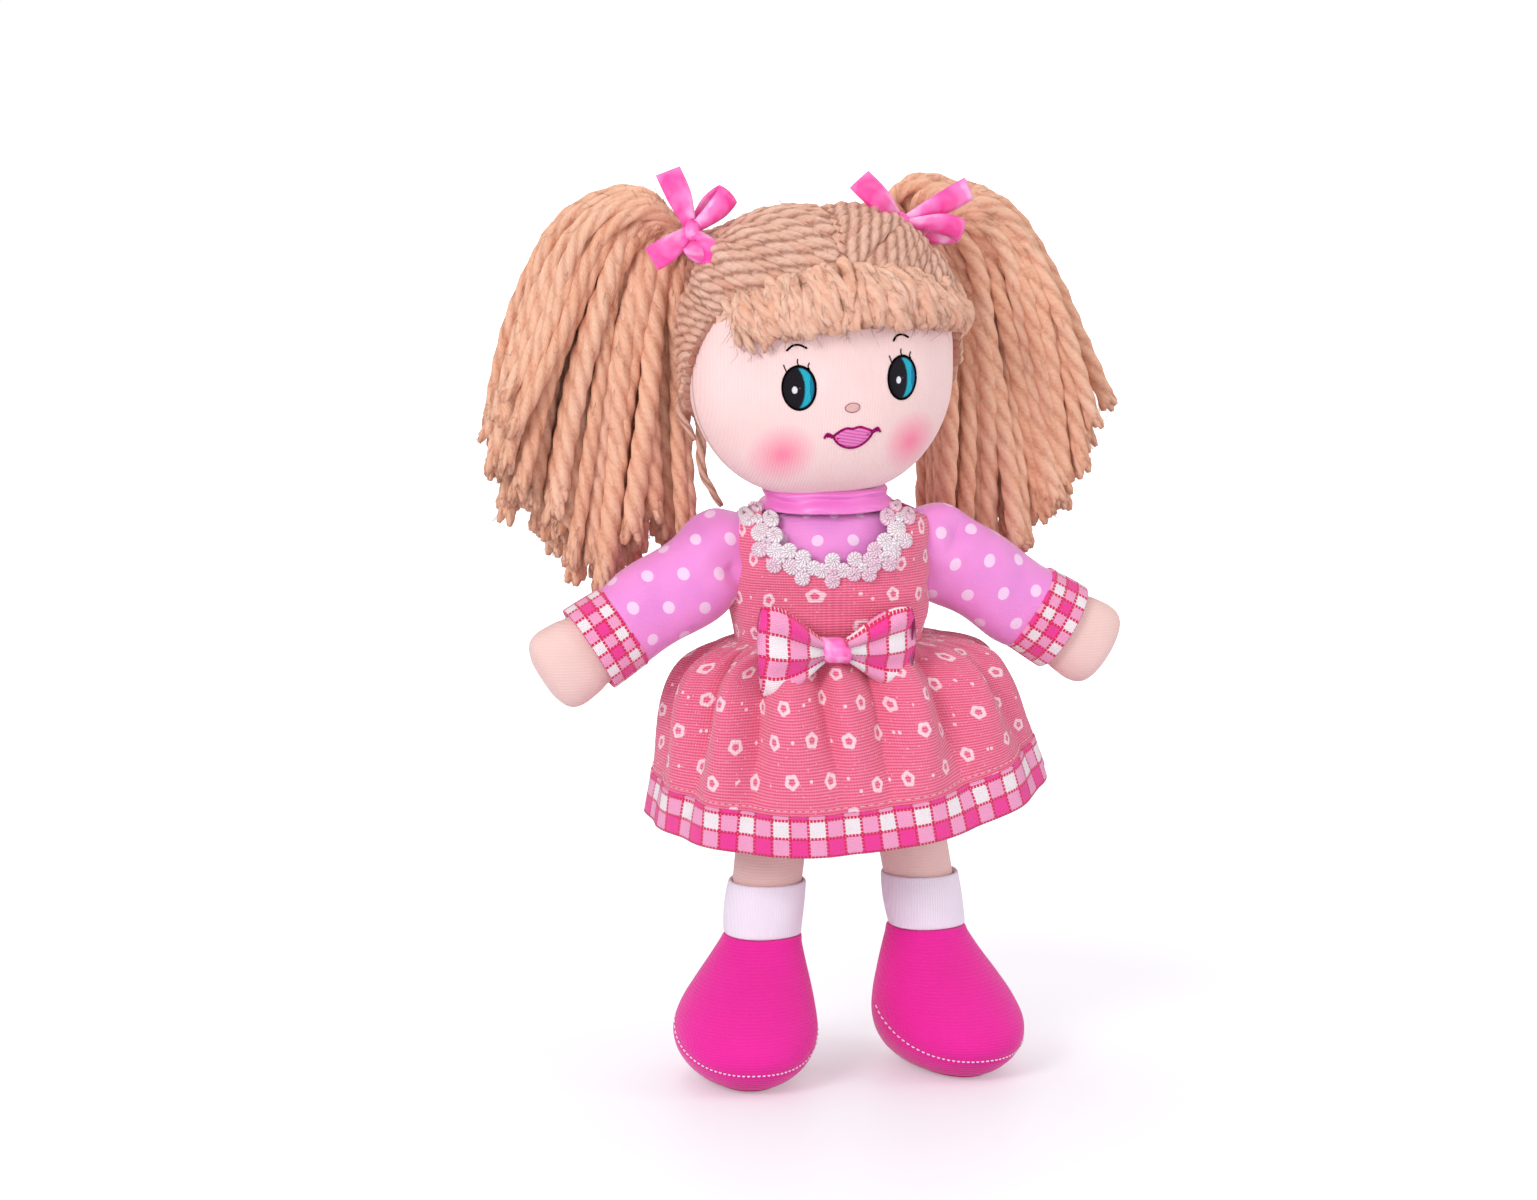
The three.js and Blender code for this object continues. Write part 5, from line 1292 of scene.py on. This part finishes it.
def skirt_ring(turns, z, out=0.0):
    """Points round the skirt at the heights z: gathers at the waist that open into a few deep folds."""
    share = (SKIRT_TOP - z) / (SKIRT_TOP - hem_height(turns))
    right = 0.5 - 0.5 * np.sin(turns)
    puff = 1 - np.exp(-share / (0.06 + 0.035 * right))
    front = 1 - np.exp(-share / 0.2)
    folds = np.zeros_like(turns)
    for middle, width, deep in FOLD_VALLEYS:
        away = turns - middle + 0.12 * (share - 0.3) * np.sin(5 * middle)
        away = np.abs(np.mod(away + math.pi, 2 * math.pi) - math.pi)
        folds -= deep * np.exp(-((away / width) ** 1.5))
        folds += 0.22 * deep * np.exp(-(((away - 2.1 * width) / width) ** 2))
    folds *= 1.25 * ease(share / 0.12) * (1 - 0.8 * ease((share - 0.3) / 0.65))
    gathers = 1.3 * np.sin(36 * turns + 2 * np.sin(5 * turns)) * np.exp(-share / 0.16)
    gathers *= 0.35 + ease(share / 0.05)
    slack = 0.7 * np.sin(17 * turns + 7 * share) * share * (1 - 0.6 * share)
    under_cuff = 2.5 * np.exp(-(((turns - math.pi / 2) / 0.6) ** 2) - ((share - 0.18) / 0.16) ** 2)
    ripple = folds + gathers + slack + out
    width = 38.0 - under_cuff + (SKIRT_PUFF[0] - 8.5 * right) * puff
    width += (SKIRT_FLARE[0] + 6.5 * right) * share
    depth = 27.0 + SKIRT_PUFF[1] * front + SKIRT_FLARE[1] * share
    x = (width + ripple) * power(np.sin(turns), 0.9) + SKIRT_SWING * share
    return np.stack([x, -(depth + ripple) * power(np.cos(turns), 0.9), z], axis=1)


skirt_turns = turns_round(SKIRT_SIDES)


def with_lap(made):
    """The piece's place is baked into its mesh."""
    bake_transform(made)


def skirt_cloth(name, heights, paint, out=0.0, flat_top=0.0, seam=()):
    """A cloth round the skirt: a seam allowance folds in at the top, and whole checks fit the girth."""
    rings = [skirt_ring(skirt_turns, z, out) for z in heights]
    allowance = [rings[0] * (share, share, 1) + (0, 0, 0.4) for share in seam]
    rings = np.roll([*allowance, *rings], SKIRT_SIDES // 2, axis=1)
    u = summed(gaps(looped(rings)[len(rings) // 2 :], 1).mean(axis=0))
    check = 2 * HEM_CHECK
    u *= round(u[-1] / check) * check / u[-1] * MM
    down = summed(gaps(rings, 0).mean(axis=1)) * MM + flat_top
    return skin(name, rings, paint, capped=False, cloth=np.stack(np.meshgrid(u, down), axis=2))


panel_shares = np.concatenate([np.linspace(0, 0.2, 18), np.linspace(0.22, 1, 46)])
panel_end = hem_height(skirt_turns) + HEM_BAND - 0.6
panel_heights = [SKIRT_TOP + share * (panel_end - SKIRT_TOP) for share in panel_shares]
skirt = skirt_cloth("skirt_cloth", panel_heights, dress, seam=(0.88, 0.97))
panels = ["skirt_front", "skirt_back"]
cloth_sheet(skirt, panels, (0.49, 0.085), None, 0.9)
with_lap(skirt)
band_heights = [hem_height(skirt_turns) + HEM_BAND * (1 - share) for share in np.linspace(0, 1, 12)]
band = skirt_cloth("hem_band", band_heights, hem_gingham, 0.7, 0.0018)
hems = ["skirt_front_hem", "skirt_back_hem"]
cloth_sheet(band, hems, (0.49, 0.0155), None, 1.1)
with_lap(band)

white_thread = thread_paint("white thread", tint(250, 204, 218), 0.7, stitch_shade=0.15, relief=0.00002)
stitch_ways = []
for start in skirt_turns[::3]:
    turns = start + np.linspace(0, 1.9, 4) * (2 * math.pi / SKIRT_SIDES)
    stitch_ways.append(skirt_ring(turns, hem_height(turns) + HEM_BAND + 2.0, 0.75))
topstitch = strands("hem_topstitch", stitch_ways, 0.2, white_thread, sides=5)
with_lap(topstitch)

# Waist bow: a folded strip of the hem's gingham, pleated together in the middle and held by a band of
# pink satin. It is sewn to the waist seam, a little to the doll's right.
BOW_CENTRE, BOW_TILT = np.array([-7.5, -36.5, 172.5]), math.radians(16)
BOW_TURN = np.array([
    [1, 0, 0], [0, math.cos(BOW_TILT), math.sin(BOW_TILT)], [0, -math.sin(BOW_TILT), math.cos(BOW_TILT)],
])


def bow_half(side):
    """One pleated loop of the waist bow, flat and crisp at its outer edge."""
    s, c = np.sin(turns_round(56)), np.cos(turns_round(56))
    rings = []
    for share in np.linspace(0, 1, 30):
        height = 4.2 + (15.6 if side < 0 else 13.0) * ease(share / 0.85) ** 0.75
        thick = 3.2 + 2.6 * math.sin(math.pi * min(share * 1.1, 1)) - 2.6 * ease((share - 0.8) / 0.2)
        level = power(s, 0.75)
        z = height * level
        pleat = 2.0 * np.cos(level * 8.5) * (1 - share) ** 0.5 * math.sqrt(share) * 1.3 * (c > 0)
        lean = 1.2 * np.sin(z * 0.16 + side) * share
        edge = 3.5 * share * (level**2 if side > 0 else 0.5 - 0.5 * level + 0.6 * level**2)
        x, y = side * (3.0 + 30.0 * share - edge), lean - (thick * power(c, 0.9) + pleat)
        rings.append(np.stack([x, y, z + side * 0.4 * share], axis=1))
    rings = np.array(rings)
    tall = np.abs(rings[..., 2]).max(axis=1, keepdims=True)
    cloth = np.stack([rings[..., 0] * 0.95, rings[..., 2] / tall * 16 + 3.8], axis=2)
    return rings @ BOW_TURN + BOW_CENTRE, looped(cloth) * MM


for side, name in SIDES:
    rings, cloth = bow_half(side)
    loop = skin("waist_bow_" + name, rings, bow_gingham, cloth=cloth)
    cloth_sheet(loop, ["waist_bow"], (0.036, 0.032), "doll_body", 0)
knot_rings = []
s, c = np.sin(turns_round(36)), np.cos(turns_round(36))
for share in np.linspace(-1, 1, 22):
    x = share * (5.9 - 0.4 * np.abs(c))
    y = -5.8 * c * (1 - 0.06 * share * share) - 0.4 * math.sin(7 * share)
    z = 4.9 * s + 0.4 * math.sin(5 * share) - 0.9 * share
    shrink = 1 - 0.16 * abs(share) ** 5
    knot_rings.append(np.stack([x, y * shrink, z * shrink], axis=1) @ BOW_TURN + BOW_CENTRE)
sewn(skin("waist_bow_band", knot_rings, ribbon_paint), "doll_body", "waist_bow_knot")

# Lace trim: a bought edging of crocheted flowers, white with a pink thread, sewn round the neckline.
# Each flower is a chain of plump worked rings round a small centre.
lace_paint = Paint("crochet cotton", roughness=0.9, Sheen_Weight=0.3)
lu, lv, _ = lace_paint.axes("UV")
lot = lace_paint.chance(lace_paint.vector((lu * 0.5).maths("FLOOR"), 5.0))
turns_of_thread = ((lv / 0.0011 + lu * 2) * math.pi).maths("SINE").maths("ABSOLUTE")
lace_colour = lace_paint.mix(lot.over(0.6, 0.3) * 0.55, tint(252, 244, 248), tint(248, 190, 220))
# Painted shade between the turns of the thread.
lace_colour = lace_paint.mix((1 - turns_of_thread) * 0.4, lace_colour, tint(214, 150, 184))
lace_paint.wear(lace_colour, turns_of_thread, 0.0005)
LACE_FLOWERS, LACE_PETALS, PETAL_REACH = 9, 4, 4.1
lace_ways, lace_sizes = [], []


def lace_ring(x, z, radius, rise, thick):
    """A worked ring on the bodice's front, at a place of the front view."""
    turns = np.linspace(0, 2 * math.pi, 17)
    x, z = x + radius * np.cos(turns), np.minimum(z + radius * np.sin(turns), SHOULDER_TOP - 0.2)
    reach = np.clip(np.abs(x) / BODICE_HALF, 0, 0.98) ** (BODICE_SQUARENESS / 2)
    lace_ways.append(bodice_point(np.arcsin(reach) * np.sign(x), z, rise))
    lace_sizes.append(thick)


for k in range(LACE_FLOWERS):
    turn = math.pi * (k + 0.1) / (LACE_FLOWERS - 0.8)
    c, s = math.cos(turn), math.sin(turn)
    petal_lean = (0.0, 0.35)[k % 2]
    middle_x = NECK_X - (NECK_HALF + 1.0) * math.copysign(abs(c) ** 0.85, c)
    middle_z = 222.5 - NECK_DEEP * 0.98 * s**0.85
    for p in range(LACE_PETALS):
        way = math.pi / 2 + turn + p * 2 * math.pi / LACE_PETALS + petal_lean
        x, z = middle_x + PETAL_REACH * math.cos(way), middle_z + PETAL_REACH * math.sin(way)
        lace_ring(x, z, 1.9, 0.9 + 0.25 * (p % 2), 1.25)
        lace_ring(x, z, 0.6, 1.1 + 0.25 * (p % 2), 0.95)
    lace_ring(middle_x, middle_z, 0.9, 1.9, 1.0)
trim = strands("lace_flowers", lace_ways, lace_sizes, lace_paint, sides=8, tip=1.0)
sewn(trim, "doll_body", "lace_trim")

# Legs, socks and shoes: legs of the body knit, stuffed and sewn under the skirt; a band of white knit for
# each sock; a soft shoe of magenta knit, topstitched round the toe above a flat sole.
TOE_SPLAY, TOE_LINE, ANKLE_Y = math.radians(7), 0.36, -8.0
SHOE_RINGS, SHOE_SIDES = 74, 88
LEG_PLACES = {"left": (26.0, 38.5, 3.2), "right": (-18.0, -29.0, -9.2)}
sock_paint = knit("sock knit", tint(244, 236, 252), rib=1.0)
shoe_paint = knit("shoe knit", tint(240, 22, 162), rib=1.1, relief=0.0002, upright=False, contrast=0.2)
toe_thread = thread_paint("toe thread", tint(255, 232, 246), 0.6, stitch_shade=0.1, relief=0.00001)


def splayed(rings, side, ankle_x):
    """Turns a shoe's toe outward about the ankle."""
    return spun(rings, side * TOE_SPLAY) + (ankle_x, ANKLE_Y, 0)


def toe_line(turns):
    """How far up the shoe its topstitching runs: low over the toe and rising to its sides."""
    return TOE_LINE + 0.15 * (1 + np.sin(turns)) ** 1.4


def toe_tuck(share, turns):
    """The knit is drawn in along the topstitching."""
    return -0.4 * np.exp(-(((share - toe_line(turns)) / 0.013) ** 2)) * (np.sin(turns) < 0.2)


SHOE_ROWS = [
    [0.4, 1, -15, 9, 20], [1.1, 1, -15, 13.6, 25.4], [2.5, 1, -15.2, 17.2, 29.2],
    [4.8, 1, -15.5, 20.6, 32.4], [8.5, 1, -16, 24.2, 35.6], [14, 1, -16, 27.2, 37.6],
    [21, 0.95, -14.6, 28.2, 36.6], [29, 0.8, -11, 26.4, 32], [37, 0.55, -7, 23.0, 26.6],
    [44.5, 0.3, -3, 19.4, 21.2], [51, 0.1, -0.5, 16.5, 17],
    [54.2, 0, 0, 15.4, 15.6], [55, 0, 0, 13.2, 13.2],
]
SOLE_ROWS = [
    [0.02, 1, -15, 10.5, 21.5], [0.3, 1, -15, 12.4, 24.2],
    [0.9, 1, -15, 13.4, 25.2], [1.4, 1, -15, 11.5, 23],
]
for side, name in SIDES:
    leg = name + "_leg"
    hip_x, ankle_x, shoe_x = LEG_PLACES[name]
    leg_rows = [
        [55.4, ankle_x, -8, 12.6, 12.6], [58, ankle_x, -7.8, 13.4, 13.4],
        [97, (hip_x + ankle_x) / 2, -4, 14, 14], [138, hip_x, 0, 14, 14],
        [148, hip_x, 0, 11.5, 11.5], [152, hip_x, 0, 7, 7], [153.8, hip_x, 0, 1.5, 1.5],
    ]
    stuffed(leg + "_pad", leg, ovals(leg_rows, 60, 48), limb_knit, leg)
    top_x = ankle_x - side * 2.2
    sock_rows = [
        [73.2, top_x, -6.4, 13.7, 13.7], [75.3, top_x, -6.4, 14.3, 14.3],
        [74.6, top_x, -6.4, 15.0, 15.0], [66, (top_x + ankle_x) / 2, -7.2, 15.4, 15.4],
        [57, ankle_x, -8, 15.0, 15.0], [55.2, ankle_x, -8, 14.6, 14.6],
    ]
    sock_rings = ovals(sock_rows, 40, 64, 2.1, lambda share, turns: 0.18 * np.sin(3 * turns + 9 * share))
    sock = skin(name + "_sock_cloth", sock_rings, sock_paint, capped=False)
    cloth_sheet(sock, [name + "_sock"], (0.098, 0.0235), leg, 0.8)
    shoe_rows, sole_rows = (
        [[z, shoe_x * spread, y, a, b] for z, spread, y, a, b in rows] for rows in (SHOE_ROWS, SOLE_ROWS)
    )
    shoe_rings = splayed(ovals(shoe_rows, SHOE_RINGS, SHOE_SIDES, 2.12, toe_tuck), side, ankle_x)
    stuffed(name + "_shoe_pad", name + "_shoe", shoe_rings, shoe_paint, leg)
    sole_rings = splayed(ovals(sole_rows, 12, SHOE_SIDES, 2.12), side, ankle_x)
    stuffed(name + "_sole_pad", name + "_shoe_sole", sole_rings, shoe_paint, leg)
    columns = np.arange(SHOE_SIDES + 1)
    level = toe_line(columns / SHOE_SIDES * 2 * math.pi) * (SHOE_RINGS - 1)
    below, part = level.astype(int), (level % 1)[:, None]
    columns %= SHOE_SIDES
    toe = shoe_rings[below, columns] * (1 - part) + shoe_rings[below + 1, columns] * part
    stitches = []
    for c in range(SHOE_SIDES):
        if np.sin(c / SHOE_SIDES * 2 * math.pi) < 0.15:
            a, b = toe[c], toe[c + 1]
            out = unit(a - toe.mean(axis=0)) * 0.4
            stitches.append([a + out, a * 0.7 + b * 0.3 + out * 1.6, a * 0.42 + b * 0.58 + out])
    sewn(strands(name + "_toe_stitches", stitches, 0.34, toe_thread, sides=5), leg)

# Voice box, bands and other hard parts: their shapes are the solids' own, so they only get a finish.
# The case is moulded, the cells and contacts are nickel plated and the speaker cone is pressed paper.


def hard_paint(name, colour, roughness, metal=0.0, grain=400.0, relief=0.00003):
    """A hard surface with a fine grain."""
    paint = Paint(name, roughness=roughness, Metallic=metal)
    speckle = paint.noise(paint.vector(*paint.axes("Object")), grain, 4.0)
    colour = paint.mix(speckle * 0.6, colour, shade(colour, 0.82))
    return paint.wear(colour, speckle, relief, speckle * 0.2 + (roughness - 0.1))


finishes = {
    "steel": hard_paint("nickel plate", tint(200, 200, 204), 0.3, 1.0, 900.0),
    "case_plastic": hard_paint("moulded case", tint(238, 234, 224), 0.5),
    "button_plastic": hard_paint("button plastic", tint(222, 50, 44), 0.35),
    "switch_plastic": hard_paint("switch plastic", tint(34, 34, 38), 0.5),
    "board_laminate": hard_paint("board laminate", tint(30, 104, 56), 0.4, 0.0, 250.0),
    "cone_paper": hard_paint("cone paper", tint(44, 42, 44), 0.9, 0.0, 1500.0, 0.0001),
    "lead_sleeve": hard_paint("lead sleeve", tint(178, 36, 40), 0.5),
    "elastic": hard_paint("covered elastic", tint(212, 150, 124), 0.85, 0.0, 1200.0, 0.0003),
}
for part in frame["record"]["subparts"]:
    chosen = finishes.get(part["material_slot"])
    node = bpy.data.objects.get(part["node"]) if chosen else None
    if node is not None:
        for place in node.material_slots:
            place.material = chosen.material
